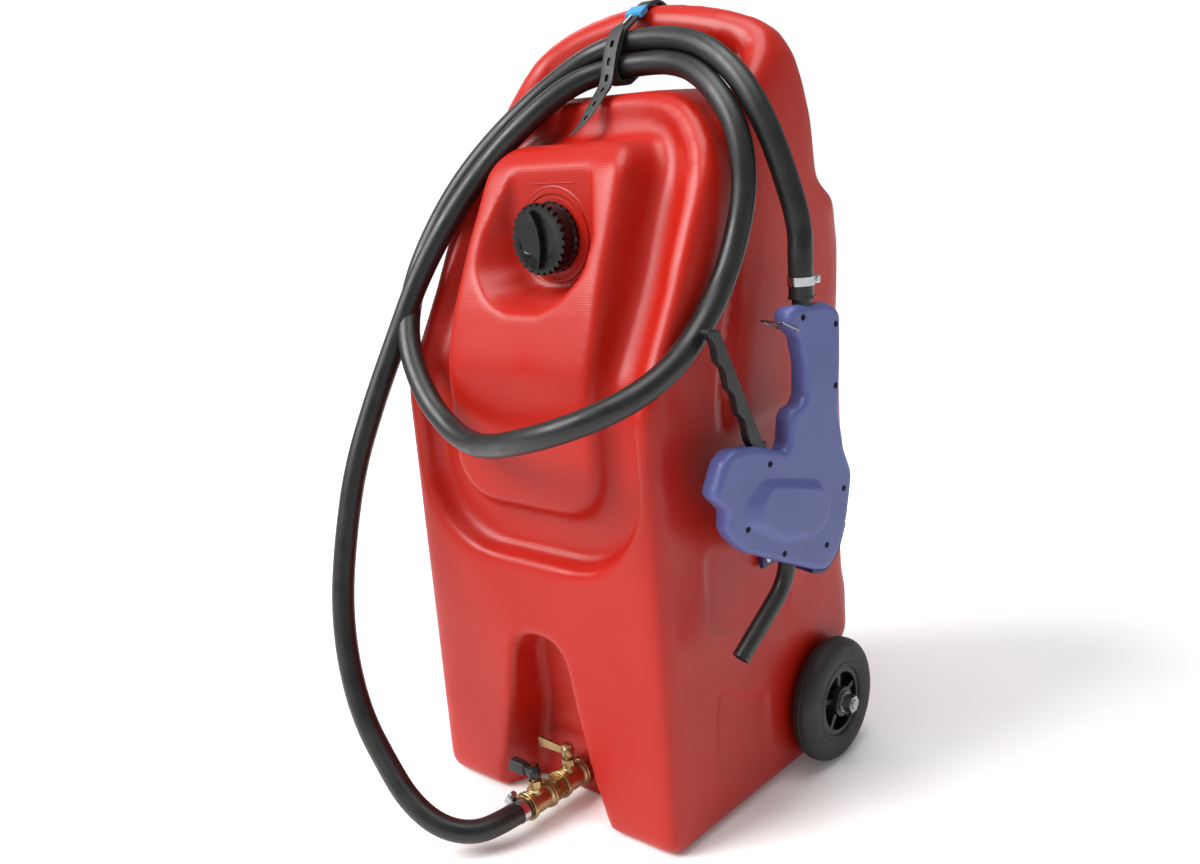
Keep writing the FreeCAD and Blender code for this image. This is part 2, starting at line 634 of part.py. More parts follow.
def housing_inner():
    """Inner half of the nozzle's housing, with the bosses that take the screws."""
    shell = housing_shell(-NOZZLE_THICK, -NOZZLE_SPLIT, SHELL_WALL - NOZZLE_THICK, 1 - NOZZLE_SPLIT)
    bosses = [nozzle_rod(4.2, s, 1 - NOZZLE_THICK, -NOZZLE_SPLIT) for s in SCREW_SPOTS]
    shell = union([shell] + bosses)
    for spot in SCREW_SPOTS:
        shell = shell.cut(nozzle_rod(1.5, spot, 6 - NOZZLE_THICK, 0))
    pin = nozzle_rod(PIN_RADIUS, LEVER_PIVOT, SHELL_WALL - NOZZLE_THICK, 0)
    shell = shell.fuse(nozzle_rod(PIN_RADIUS + 2, LEVER_PIVOT, 1 - NOZZLE_THICK, MID - LEVER_WIDTH / 2 - 0.6))
    return openings_cut(shell).cut(pin).removeSplitter()


def housing_screws():
    """Screws that close the housing."""
    screws = []
    for spot in SCREW_SPOTS:
        head = nozzle_rod(3.2, spot, -1.8, -0.2)
        shank = nozzle_rod(1.5, spot, 6 - NOZZLE_THICK, -1.8)
        cross = box(V(-0.5, -2.2, -1), V(0.5, 2.2, 0.5)).fuse(box(V(-2.2, -0.5, -1), V(2.2, 0.5, 0.5)))
        cross.Placement = plane(NOZZLE_U, Z_AXIS, at_nozzle(spot[0], spot[1], -0.2))
        screws.append(union([head, shank]).cut(cross))
    return group(screws)


def lever_pin():
    """Pin that the pump lever swings on."""
    return nozzle_rod(PIN_RADIUS, LEVER_PIVOT, SHELL_WALL - NOZZLE_THICK, -SHELL_WALL)


def pump_lever():
    """Finger lever with four scallops above the pin and a short arm below it."""
    u, v = LEVER_PIVOT
    lean = math.radians(LEVER_LEAN)
    along = V(-math.sin(lean), math.cos(lean), 0)
    across = V(-math.cos(lean), -math.sin(lean), 0)
    start = V(u, v, 0)

    def spot(a, c, radius):
        """Corner at a along and c in front of the lever's middle line."""
        p = start + along * a + across * c
        return (p.x, p.y, radius)

    half = LEVER_THICK / 2
    corners = [spot(14, -half, 20), spot(LEVER_LENGTH - 8, -half, 4), spot(LEVER_LENGTH, half, 4)]
    span = (LEVER_LENGTH - 42) / 4
    for i in range(4):
        top = LEVER_LENGTH - 3 - span * i
        corners += [spot(top - 4, half, 3), spot(top - span / 2, half - 4.5, 16)]
    corners += [spot(34, half, 4), spot(10, half - 1, 10)]
    blade = prism(corners, NOZZLE, MID - LEVER_WIDTH / 2, MID + LEVER_WIDTH / 2)
    hub = nozzle_rod(PIN_RADIUS + 5, LEVER_PIVOT, MID - LEVER_WIDTH / 2, MID + LEVER_WIDTH / 2)
    neck = prism([(u - 7, v, 0), (u - 13, v + 22, 0), (u + 4, v + 22, 0), (u + 7, v, 0)], NOZZLE,
                 MID - LEVER_WIDTH / 2, MID + LEVER_WIDTH / 2)
    arm = prism([(u - 4, v, 0), (u + 5, v, 0), (u + 5, v - LEVER_ARM, 0), (u - 3, v - LEVER_ARM, 0)],
                NOZZLE, MID - 4, MID + 4)
    nose = nozzle_rod(5, (u + 1, v - LEVER_ARM), MID - 4, MID + 4)
    return union([blade, hub, neck, arm, nose]).cut(
        nozzle_rod(PIN_RADIUS + 0.05, LEVER_PIVOT, -NOZZLE_THICK, 0))


PUMP_V = LEVER_PIVOT[1] - LEVER_ARM
PUMP_OPEN = LEVER_PIVOT[0] + 16.0
PUMP_END = PUMP_OPEN + PUMP_LENGTH
CHANNEL_V = 72.0
CHEST_U = -38.0
PISTON_LENGTH = 8.0


def pump_cylinder():
    """Pump barrel with the channel and the two valve chests cast to it."""
    barrel = rod(PUMP_RADIUS, at_nozzle(PUMP_END, PUMP_V), at_nozzle(PUMP_OPEN, PUMP_V))
    port = PUMP_END - 9
    channel = prism([(CHEST_U - 6, CHANNEL_V - 6), (INLET_U + 6, CHANNEL_V - 6), (INLET_U + 6, CHANNEL_V + 6),
                     (CHEST_U - 6, CHANNEL_V + 6)], NOZZLE, MID - 5.5, MID + 5.5)
    riser = prism([(port - 5, CHANNEL_V), (port + 5, CHANNEL_V), (port + 5, PUMP_V), (port - 5, PUMP_V)],
                  NOZZLE, MID - 5, MID + 5)
    inlet_chest = rod(7.5, at_nozzle(INLET_U, CHANNEL_V - 6), at_nozzle(INLET_U, CHANNEL_V + 16))
    outlet_chest = rod(7.5, at_nozzle(CHEST_U, CHANNEL_V + 6), at_nozzle(CHEST_U, 44))
    block = union([barrel, channel, riser, inlet_chest, outlet_chest])
    cuts = [rod(PUMP_BORE, at_nozzle(PUMP_OPEN - 1, PUMP_V), at_nozzle(PUMP_END - 4, PUMP_V)),
            rod(2.5, at_nozzle(CHEST_U - 2, CHANNEL_V), at_nozzle(INLET_U + 2, CHANNEL_V)),
            rod(2.2, at_nozzle(port, CHANNEL_V), at_nozzle(port, PUMP_V)),
            rod(CHECK_BALL + 0.4, at_nozzle(INLET_U, CHANNEL_V - 4), at_nozzle(INLET_U, CHANNEL_V + 7)),
            rod(3, at_nozzle(INLET_U, CHANNEL_V), at_nozzle(INLET_U, CHANNEL_V + 20)),
            rod(CHECK_BALL + 0.4, at_nozzle(CHEST_U, CHANNEL_V - 18), at_nozzle(CHEST_U, CHANNEL_V - 8)),
            rod(3, at_nozzle(CHEST_U, CHANNEL_V), at_nozzle(CHEST_U, 40))]
    return block.cut(cuts)


def pump_piston():
    """Piston and its rod, whose end rests by the lever's nose."""
    rest = PUMP_END - 5
    head = rod(PUMP_BORE - PUMP_GAP, at_nozzle(rest - PISTON_LENGTH, PUMP_V), at_nozzle(rest, PUMP_V))
    stem = rod(4, at_nozzle(rest - 1, PUMP_V), at_nozzle(LEVER_PIVOT[0] + 6.5, PUMP_V))
    return union([head, stem])


def check_balls():
    """Balls of the inlet and outlet valves, each just under its seat."""
    inlet = Part.makeSphere(CHECK_BALL, at_nozzle(INLET_U, CHANNEL_V + 7 - CHECK_BALL - 0.3))
    outlet = Part.makeSphere(CHECK_BALL, at_nozzle(CHEST_U, CHANNEL_V - 8 - CHECK_BALL - 0.3))
    return inlet, outlet


def return_spring():
    """Coil that swings the lever back, wound round its pin on the outer side."""
    turns, steps = 2, 12
    points = []
    for i in range(turns * steps + 1):
        angle = 2 * math.pi * i / steps
        points.append(V(SPRING_RADIUS * math.cos(angle), SPRING_RADIUS * math.sin(angle), SPRING_PITCH * i / steps))
    curve = Part.BSplineCurve()
    curve.interpolate(points)
    heading = curve.tangent(curve.FirstParameter)[0]
    profile = Part.Wire([Part.Circle(points[0], heading, SPRING_WIRE).toShape()])
    coil = Part.Wire([curve.toShape()]).makePipeShell([profile], True, False)
    coil.Placement = plane(NOZZLE_U, Z_AXIS, at_nozzle(LEVER_PIVOT[0], LEVER_PIVOT[1], -6.4))
    return coil


def inlet_tube():
    """Tube down the grip from the hose tail to the inlet chest."""
    return tube(TUBE_RADIUS, TUBE_RADIUS - 1.5, at_nozzle(INLET_U, CHANNEL_V + 16), at_nozzle(INLET_U, 284))


HOSE_END_V = 300.0


def inlet_barb():
    """Barbed tail on the grip's top, pushed into the hose."""
    foot = rod(TUBE_RADIUS + 4, at_nozzle(INLET_U, 284), at_nozzle(INLET_U, HOSE_END_V - 2))
    flange = rod(HOSE_RADIUS + 1, at_nozzle(INLET_U, HOSE_END_V - 2), at_nozzle(INLET_U, HOSE_END_V))
    core = rod(7.4, at_nozzle(INLET_U, HOSE_END_V - 2), at_nozzle(INLET_U, HOSE_END_V + 20))
    parts = [foot, flange, core]
    for i in range(3):
        tail = at_nozzle(INLET_U, HOSE_END_V + 2 + 6 * i)
        parts.append(Part.makeCone(HOSE_BORE - 0.05, 7.0, 6, tail, Z_AXIS))
    return union(parts).cut(rod(4.5, at_nozzle(INLET_U, 280), at_nozzle(INLET_U, HOSE_END_V + 30)))


def spout():
    """Bent delivery tube below the housing."""
    bend = at_nozzle(-46, -2)
    tip = at_nozzle(-116, -66)
    start = at_nozzle(CHEST_U, 42)
    return bent_tube([start, bend, tip], SPOUT_RADIUS, SPOUT_BORE)[0]


def lever_latch():
    """Wire bail hinged at the grip's top that can hold the lever."""
    u, v = LATCH_SPOT
    half = NOZZLE_THICK / 2 + 2.2
    low, high = MID - half, MID + half
    reach = (u - LATCH_REACH, v + LATCH_REACH / 2)
    return union([
        nozzle_rod(LATCH_WIRE, LATCH_SPOT, low, high),
        rod(LATCH_WIRE, at_nozzle(u, v, low), at_nozzle(reach[0], reach[1], low)),
        rod(LATCH_WIRE, at_nozzle(u, v, high), at_nozzle(reach[0], reach[1], high)),
        nozzle_rod(LATCH_WIRE, reach, low, high)]
        + [Part.makeSphere(LATCH_WIRE, at_nozzle(p[0], p[1], d)) for p in (LATCH_SPOT, reach)
           for d in (low, high)])


def nozzle_holder():
    """Bracket on the tank's side with a cradle under the nozzle's rear corner."""
    whole = prism(HOUSING, NOZZLE, -NOZZLE_THICK - 5.3, -6, 4.3)
    room = prism(HOUSING, NOZZLE, -NOZZLE_THICK - 0.3, 5, 0.3)
    region = [(-12, -10, 0), (60, -10, 0), (60, 44, 0), (-12, 44, 0)]
    cradle = whole.cut(room).common(prism(region, NOZZLE, -60, 5))
    back = at_nozzle(20, 0, -NOZZLE_THICK - 3)
    plate = box(V(HALF, back.y - 32, NOZZLE_FOOT - 8), V(HALF + 5, back.y + 32, NOZZLE_FOOT + 60))
    arm = box(V(HALF + 4, back.y - 13, NOZZLE_FOOT + 14), V(back.x, back.y + 13, NOZZLE_FOOT + 38))
    keep = prism(HOUSING, NOZZLE, -NOZZLE_THICK - 0.3, 5, 6)
    bracket = union([cradle, plate, arm.cut(keep)])
    for spot in holder_spots():
        bracket = bracket.cut(rod(2.6, spot, spot + V(10, 0, 0)))
    return bracket


def holder_spots():
    """Where the bracket's screws enter the tank's side."""
    back = at_nozzle(20, 0, -NOZZLE_THICK - 3)
    return [V(HALF, back.y + side * 24, NOZZLE_FOOT + height) for side in (-1, 1) for height in (2, 50)]


def holder_screws():
    """Screws that hold the bracket, their threads set in the tank's wall."""
    screws = []
    for spot in holder_spots():
        head = rod(4.6, spot + V(5, 0, 0), spot + V(8, 0, 0))
        screws.append(union([head, rod(2.5, spot - V(SCREW_BITE, 0, 0), spot + V(6, 0, 0))]))
    return group(screws)


# ---------------------------------------------------------------- hose
HOSE_ROUTE = [
    (-13, -113, 28), (-41, -136, 39), (-78, -145, 64), (-114, -142, 98),
    (-153, -138, 142), (-184, -126, 198), (-203, -110, 262), (-209, -88, 335),
    (-210, -62, 410), (-203, -28, 482), (-188, 4, 552), (-172, 34, 620), (-143, 66, 685),
    (-119, 106, 738), (-71, 130, 784), (-36, 171, 821), (-6, 206, 833), (38, 210, 836),
    (82, 206, 834), (126, 190, 822), (168, 172, 794), (197, 162, 752), (206, 154, 700),
    (202, 134, 640), (199, 100, 592), (199, 54, 557), (203, 10, 538), (197, -36, 522), (173, -70, 508),
    (134, -90, 494), (86, -84, 480), (36, -66, 466), (-16, -46, 456), (-68, -30, 461),
    (-122, -18, 493), (-168, 2, 548), (-192, 38, 604), (-186, 74, 664), (-154, 100, 722),
    (-112, 128, 772), (-72, 167, 816), (-44, 208, 847), (-6, 219, 859), (38, 220, 862),
    (82, 214, 859), (134, 200, 845), (182, 187, 812), (214, 182, 766), (232, 188, 710), (246, 190, 658)]


def bent_tube(points, outer, inner):
    """Tube along straight runs joined by arcs as large as the runs allow."""
    edges, radii, length = [], [], 0.0
    here = points[0]
    for before, corner, after in zip(points, points[1:], points[2:]):
        back, ahead = before - corner, after - corner
        turn = math.pi - back.getAngle(ahead)
        reach = 0.45 * min(back.Length, ahead.Length)
        radius = reach / math.tan(turn / 2)
        radii.append(radius)
        back.normalize()
        ahead.normalize()
        middle = back + ahead
        middle.normalize()
        start, end = corner + back * reach, corner + ahead * reach
        apex = corner + middle * (radius / math.cos(turn / 2) - radius)
        edges.append(Part.LineSegment(here, start).toShape())
        edges.append(Part.Arc(start, apex, end).toShape())
        here = end
    edges.append(Part.LineSegment(here, points[-1]).toShape())
    path = Part.Wire(edges)
    first = points[1] - points[0]
    rings = [Part.Wire([Part.Circle(points[0], first, radius).toShape()]) for radius in (outer, inner)]
    solid = path.makePipe(Part.Face(rings, "Part::FaceMakerBullseye"))
    return solid, radii, path.Length


def fuel_hose():
    """Hose from the outlet barb, round the tank and the handle, to the nozzle."""
    start = V(0, behind(HOSE_START), OUTLET_Z)
    end = at_nozzle(INLET_U, HOSE_END_V)
    free = [V(x, behind(y), z) for x, y, z in HOSE_ROUTE]
    points = [start, start - V(0, HOSE_STRAIGHT, 0)] + free + [end + V(0, 0, HOSE_STRAIGHT), end]
    solid, radii, length = bent_tube(points, HOSE_RADIUS, HOSE_BORE)
    area = math.pi * (HOSE_RADIUS ** 2 - HOSE_BORE ** 2)
    print("hose length %.0f mm, tightest radii %s" % (length, sorted(round(r) for r in radii)[:6]))
    print("hose volume %.0f of %.0f" % (solid.Volume, area * length))
    return solid


# ---------------------------------------------------------------- strap
STRAP_ROUNDS = [(BAR_BACK, BAR_Z, BAR_SIZE / 2), (206.4, 833.8, HOSE_RADIUS + 2.2), (219.2, 860.0, HOSE_RADIUS + 0.4)]
PRONG_RADIUS = 1.5
PRONG_RISE = 32.0


def hull(circles, extra):
    """Closed outline of a tight belt round circles listed in turn."""
    grown = [(behind(y), z, r + extra) for y, z, r in circles]
    centre = (sum(c[0] for c in grown) / 3, sum(c[1] for c in grown) / 3)
    grown.sort(key=lambda c: math.atan2(c[1] - centre[1], c[0] - centre[0]))
    normals = []
    for a, b in zip(grown, grown[1:] + grown[:1]):
        run = math.hypot(b[0] - a[0], b[1] - a[1])
        heading = math.atan2(b[1] - a[1], b[0] - a[0])
        normals.append(heading - math.pi / 2 + math.asin((a[2] - b[2]) / run))

    def rim(circle, angle):
        return V(circle[0] + circle[2] * math.cos(angle), circle[1] + circle[2] * math.sin(angle), 0)

    edges = []
    for i, circle in enumerate(grown):
        start, end = normals[i - 1], normals[i]
        half_turn = (end - start) % (2 * math.pi) / 2
        edges.append(Part.Arc(rim(circle, start), rim(circle, start + half_turn), rim(circle, end)).toShape())
        edges.append(Part.LineSegment(rim(circle, end), rim(grown[(i + 1) % len(grown)], end)).toShape())
    return Part.Wire(edges)


def strap_band(inner, outer, half):
    """Band between two belts, centred across the strap."""
    faces = [Part.Face(hull(STRAP_ROUNDS, extra)) for extra in (outer, inner)]
    solids = []
    for face in faces:
        face.translate(V(0, 0, STRAP_X - half))
        solid = face.extrude(V(0, 0, 2 * half))
        solid.Placement = SIDE
        solids.append(solid)
    return solids[0].cut(solids[1])


TAIL = [(212, 880), (201, 867), (192, 850), (186, 830), (181, 815), (166, 803), (153, 788), (142, 773), (130, 763)]


def hose_strap():
    """Rubber strap round the handle bar and both hose runs, with a hanging tail."""
    half = STRAP_WIDTH / 2
    band = strap_band(STRAP_GAP, STRAP_GAP + STRAP_THICK, half)
    outer = [(behind(y), z, 20) for y, z in TAIL]
    inner = []
    for i, (y, z) in enumerate(TAIL):
        before, after = TAIL[max(i - 1, 0)], TAIL[min(i + 1, len(TAIL) - 1)]
        run = V(after[0] - before[0], after[1] - before[1], 0)
        run.normalize()
        inner.append((behind(y + run.y * STRAP_THICK), z - run.x * STRAP_THICK, 20))
    tail = prism(outer + inner[::-1], SIDE, STRAP_X - half, STRAP_X + half)
    holes = []
    for y, z in TAIL[3:-1]:
        holes.append(Part.makeCylinder(3, 30, V(STRAP_X, behind(y) - 8, z + 14), V(0, 0.6, -0.8)))
    tail = tail.cut(holes)
    return band.fuse(tail)


def strap_keeper():
    """Moulded keeper loop round the strap where it leaves the bar towards the hose."""
    half = STRAP_WIDTH / 2 + 2.5
    ring = strap_band(0.2, STRAP_GAP + STRAP_THICK + 2.5, half)
    inside = strap_band(STRAP_GAP - 0.05, STRAP_GAP + STRAP_THICK + 0.05, STRAP_WIDTH / 2 + 0.05)
    window = box(V(-60, behind(KEEPER_FRONT), BAR_Z + 8), V(60, behind(KEEPER_FRONT + KEEPER_LENGTH), BAR_Z + 60))
    return ring.cut(inside).common(window)


def strap_prong():
    """Steel hook prong that lies on the strap in front of the bar."""
    rise = math.radians(PRONG_RISE)
    along, out = V(0, math.cos(rise), math.sin(rise)), V(0, -math.sin(rise), math.cos(rise))
    y, z, radius = STRAP_ROUNDS[2]
    lift = radius + STRAP_GAP + STRAP_THICK + PRONG_RADIUS + 0.2
    middle = V(STRAP_X, behind(y), z) + out * lift
    return rod(PRONG_RADIUS, middle + along * 8, middle + along * 26)


# ---------------------------------------------------------------- running gear
WHEEL_IN = HALF + WHEEL_SIDE_GAP
WHEEL_OUT = WHEEL_IN + WHEEL_WIDTH
WASHER_RADIUS = 12.0
WASHER_THICK = 1.8


def on_axle(x):
    """Point on the axle's axis."""
    return V(x, behind(AXLE_BACK), AXLE_Z)


def axle():
    """Plain steel axle through the tank's tunnel."""
    reach = WHEEL_OUT + 0.3 + WASHER_THICK + NUT_THICK + 2
    return rod(AXLE_RADIUS, on_axle(-reach), on_axle(reach))


def wheel_hub(side):
    """Spoked plastic wheel centre."""
    low, high = on_axle(side * WHEEL_IN), on_axle(side * WHEEL_OUT)
    rim = tube(RIM_RADIUS, RIM_RADIUS - 6, on_axle(side * (WHEEL_IN + 4)), on_axle(side * (WHEEL_OUT - 4)))
    disc = rod(RIM_RADIUS - 5, on_axle(side * (WHEEL_IN + 10)), on_axle(side * (WHEEL_IN + 15)))
    hub = rod(HUB_RADIUS, low, high)
    ribs = []
    for i in range(SPOKES):
        rib = box(V(-3, HUB_RADIUS - 3, 0), V(3, RIM_RADIUS - 5, WHEEL_WIDTH - 14))
        rib.rotate(V(0, 0, 0), Z_AXIS, 360 / SPOKES * i)
        rib.Placement = plane(Y_AXIS, Z_AXIS, on_axle(WHEEL_IN + 8)).multiply(rib.Placement)
        ribs.append(rib if side > 0 else rib.mirror(V(0, 0, 0), X_AXIS))
    wheel = union([rim, disc, hub] + ribs)
    return wheel.cut(rod(BUSH_RADIUS, low - X_AXIS * (5 * side), high + X_AXIS * (5 * side)))


def tyre(side):
    """Solid rubber tyre with rounded shoulders and a sidewall ridge."""
    half = WHEEL_WIDTH / 2
    wall = [(RIM_RADIUS, -half + 4, 0), (RIM_RADIUS + 6, -half, 3), (WHEEL_RADIUS, -half + 1, 9),
            (WHEEL_RADIUS, half - 1, 9), (RIM_RADIUS + 6, half, 3), (RIM_RADIUS, half - 4, 0)]
    face = Part.Face(outline(wall))
    ring = face.revolve(V(0, 0, 0), Y_AXIS, 360)
    ring.Placement = plane(Z_AXIS, X_AXIS, on_axle(side * (WHEEL_IN + half)))
    return ring


def wheel_bush(side):
    """Flangeless nylon bush pressed in the wheel's hub."""
    return tube(BUSH_RADIUS, AXLE_RADIUS + BUSH_FIT, on_axle(side * WHEEL_IN), on_axle(side * WHEEL_OUT))


def axle_washers():
    """Spacers inside the wheels and plain washers outside them."""
    rings = []
    for side in (-1, 1):
        rings.append(tube(WASHER_RADIUS, AXLE_RADIUS, on_axle(side * HALF), on_axle(side * (WHEEL_IN - 0.3))))
        outer = WHEEL_OUT + 0.3
        rings.append(tube(WASHER_RADIUS, AXLE_RADIUS, on_axle(side * outer),
                          on_axle(side * (outer + WASHER_THICK))))
    return group(rings)


def axle_nuts():
    """Locking nuts on the axle's ends."""
    nuts = []
    start = WHEEL_OUT + 0.3 + WASHER_THICK
    for side in (-1, 1):
        nut = hexagon(NUT_AF, on_axle(side * start), on_axle(side * (start + NUT_THICK)))
        nuts.append(nut.cut(rod(AXLE_RADIUS, on_axle(-WIDE * 2), on_axle(WIDE * 2))))
    return group(nuts)


# ---------------------------------------------------------------- assembly
def build():
    """Every sub-part by its node name."""
    outlet_clamp = worm_clamp(on_outlet(HOSE_START - 8), Y_AXIS, V(-0.8, 0, 0.6))
    inlet_clamp = worm_clamp(at_nozzle(INLET_U, HOSE_END_V + 16), Z_AXIS, NOZZLE_U)
    inlet_ball, outlet_ball = check_balls()
    nodes = {
        "tank_body": tank_body(),
        "filler_neck": filler_neck(),
        "filler_cap": filler_cap(),
        "cap_gasket": cap_gasket(),
        "cap_vent_poppet": cap_vent_poppet(),
        "outlet_bushing": outlet_bushing(),
        "valve1_body": valve_body(VALVE1_CENTRE, VALVE1_HALF, VALVE1_HALF),
        "valve2_body": valve_body(VALVE2_CENTRE, VALVE2_BACK_HALF, VALVE2_FRONT_HALF),
        "valve1_lever": valve_lever(VALVE1_CENTRE, BRASS_LEVER, 12, 9, 7, 4.5),
        "valve2_lever": valve_lever(VALVE2_CENTRE, BLACK_LEVER, 14, 10, 8, 6),
        "hex_nipple": hex_nipple(),
        "hose_barb": hose_barb(),
        "hose_clamp_band": outlet_clamp[0],
        "hose_clamp_screw": outlet_clamp[1],
        "nozzle_clamp_band": inlet_clamp[0],
        "nozzle_clamp_screw": inlet_clamp[1],
        "fuel_hose": fuel_hose(),
        "hose_strap": hose_strap(),
        "strap_keeper": strap_keeper(),
        "strap_prong": strap_prong(),
        "housing_outer": housing_outer(),
        "housing_inner": housing_inner(),
        "housing_screws": housing_screws(),
        "pump_lever": pump_lever(),
        "lever_pin": lever_pin(),
        "lever_latch": lever_latch(),
        "spout": spout(),
        "inlet_barb": inlet_barb(),
        "inlet_tube": inlet_tube(),
        "pump_cylinder": pump_cylinder(),
        "pump_piston": pump_piston(),
        "inlet_check_ball": inlet_ball,
        "outlet_check_ball": outlet_ball,
        "return_spring": return_spring(),
        "nozzle_holder": nozzle_holder(),
        "holder_screws": holder_screws(),
        "axle": axle(),
        "axle_washers": axle_washers(),
        "axle_nuts": axle_nuts(),
    }
    for number, centre in ((1, VALVE1_CENTRE), (2, VALVE2_CENTRE)):
        nodes["valve%d_ball" % number] = valve_ball(centre)
        nodes["valve%d_seats" % number] = valve_seats(centre)
        nodes["valve%d_stem" % number] = valve_stem(centre)
        nodes["valve%d_gland" % number] = valve_gland(centre)
        nodes["valve%d_nut" % number] = valve_nut(centre)
    for name, side in (("left", -1), ("right", 1)):
        nodes["wheel_hub_" + name] = wheel_hub(side)
        nodes["tyre_" + name] = tyre(side)
        nodes["wheel_bush_" + name] = wheel_bush(side)
    return nodes


def main():
    """Write one STEP file for each sub-part."""
    os.makedirs("parts", exist_ok=True)
    for name, shape in build().items():
        bounds = shape.BoundBox
        print("%-20s solids %2d valid %s  volume %10.0f  x %7.1f %7.1f  y %7.1f %7.1f  z %7.1f %7.1f" % (
            name, len(shape.Solids), shape.isValid(), shape.Volume, bounds.XMin, bounds.XMax,
            bounds.YMin, bounds.YMax, bounds.ZMin, bounds.ZMax))
        shape.exportStep("parts/%s.step" % name)


main()
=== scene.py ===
"""Wheeled fuel tank with a hose, two outlet valves and a hand pump nozzle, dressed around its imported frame.

Sizes in the classes are millimetres; meshes are made in metres.  The front looks towards -Y, +X is the
tank's right side and +Z is up.  FRONT is the Y of the tank's front face.  A rounded corner has ARC_STEPS
short runs and points within MERGE become one.  A tool that passes right through the tank is twice
THROUGH_SIDE long from side to side, or twice THROUGH_FACE from front to back.  A wave texture draws
WAVE_BANDS / (2 pi) bands in a metre for each unit of its scale, and a noise texture stays mostly between
NOISE_LOW and NOISE_HIGH.
"""
from __future__ import annotations

import json
import logging
import math
from dataclasses import dataclass
from enum import Enum
from typing import Iterable, Sequence

import bpy
from mathutils import Matrix, Vector

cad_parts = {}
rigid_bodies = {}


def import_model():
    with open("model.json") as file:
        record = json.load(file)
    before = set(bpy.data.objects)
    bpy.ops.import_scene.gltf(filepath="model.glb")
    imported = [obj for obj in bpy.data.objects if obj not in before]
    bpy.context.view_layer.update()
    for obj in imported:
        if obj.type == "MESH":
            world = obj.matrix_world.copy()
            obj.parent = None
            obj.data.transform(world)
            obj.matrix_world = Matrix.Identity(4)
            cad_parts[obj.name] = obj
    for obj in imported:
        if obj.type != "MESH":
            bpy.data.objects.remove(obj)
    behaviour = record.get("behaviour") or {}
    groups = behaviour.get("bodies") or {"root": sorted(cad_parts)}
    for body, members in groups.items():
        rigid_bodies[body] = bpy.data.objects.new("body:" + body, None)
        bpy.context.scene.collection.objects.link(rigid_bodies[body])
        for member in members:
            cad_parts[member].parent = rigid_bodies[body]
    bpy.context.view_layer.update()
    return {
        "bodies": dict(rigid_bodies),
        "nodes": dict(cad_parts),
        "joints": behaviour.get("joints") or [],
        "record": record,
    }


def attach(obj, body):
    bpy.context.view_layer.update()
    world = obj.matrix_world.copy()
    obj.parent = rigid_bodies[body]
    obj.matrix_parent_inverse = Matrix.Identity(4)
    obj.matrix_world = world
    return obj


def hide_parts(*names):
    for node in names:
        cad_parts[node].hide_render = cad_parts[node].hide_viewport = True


LOG = logging.getLogger("fuel_tank")
MM = 0.001
FRONT = -192.0
ARC_STEPS = 6
MERGE = 0.01
THROUGH_SIDE = 220.0
THROUGH_FACE = 260.0
WAVE_BANDS = 20
NOISE_LOW, NOISE_HIGH = 0.3, 0.7
WHITE = "#FFFFFF"
X_AXIS, Y_AXIS, Z_AXIS = Vector((1, 0, 0)), Vector((0, 1, 0)), Vector((0, 0, 1))
Corner = tuple[float, float, float]


class Join(Enum):
    """How one solid works on another."""

    ADD = "UNION"
    CUT = "DIFFERENCE"
    KEEP = "INTERSECT"


# ---------------------------------------------------------------- modelling helpers
def behind(distance: float) -> float:
    """Y, in millimetres, of a point at a distance behind the tank's front face."""
    return FRONT + distance


def placed(u_axis: Vector, v_axis: Vector, origin: Vector = Vector((0, 0, 0))) -> Matrix:
    """Matrix that takes an outline's u, v and its depth into space.

    Args:
        u_axis: direction of the outline's first coordinate.
        v_axis: direction of its second coordinate.
        origin: where the outline's zero lies, in millimetres.

    Returns:
        The matrix, with its shift in metres.
    """
    depth = u_axis.cross(v_axis)
    matrix = Matrix((u_axis, v_axis, depth)).transposed().to_4x4()
    matrix.translation = origin * MM
    return matrix


SIDE = placed(Y_AXIS, Z_AXIS)
FACE = placed(X_AXIS, Z_AXIS)
PLAN = placed(X_AXIS, Y_AXIS)


def only(piece: bpy.types.Object) -> None:
    """Select one piece alone and make it the active one.

    Args:
        piece: the piece.
    """
    bpy.ops.object.select_all(action="DESELECT")
    piece.select_set(True)
    bpy.context.view_layer.objects.active = piece


def mirrored(corners: Iterable[Corner]) -> list[Corner]:
    """Closed outline from its right half, listed upwards from the bottom."""
    half = list(corners)
    return half + [(-u, v, radius) for u, v, radius in reversed(half)]


def rounded(corners: Sequence[Corner]) -> list[Vector]:
    """Points of a closed outline whose corners are turned into arcs.

    Args:
        corners: u, v and corner radius, in millimetres.

    Returns:
        The outline's points in order.
    """
    points = [Vector(corner[:2]) for corner in corners]
    outline = []
    for index, here in enumerate(points):
        back = points[index - 1] - here
        ahead = points[(index + 1) % len(points)] - here
        turn = math.pi - back.angle(ahead)
        if corners[index][2] <= 0 or turn < 1e-3:
            outline.append(here)
            continue
        reach = min(corners[index][2] * math.tan(turn / 2), 0.49 * min(back.length, ahead.length))
        back, ahead = back.normalized(), ahead.normalized()
        radius = reach / math.tan(turn / 2)
        centre = here + (back + ahead).normalized() * (radius / math.cos(turn / 2))
        start, end = here + back * reach - centre, here + ahead * reach - centre
        for step in range(ARC_STEPS + 1):
            share = step / ARC_STEPS
            arm = start * math.sin((1 - share) * turn) + end * math.sin(share * turn)
            outline.append(centre + arm / math.sin(turn))
    return outline


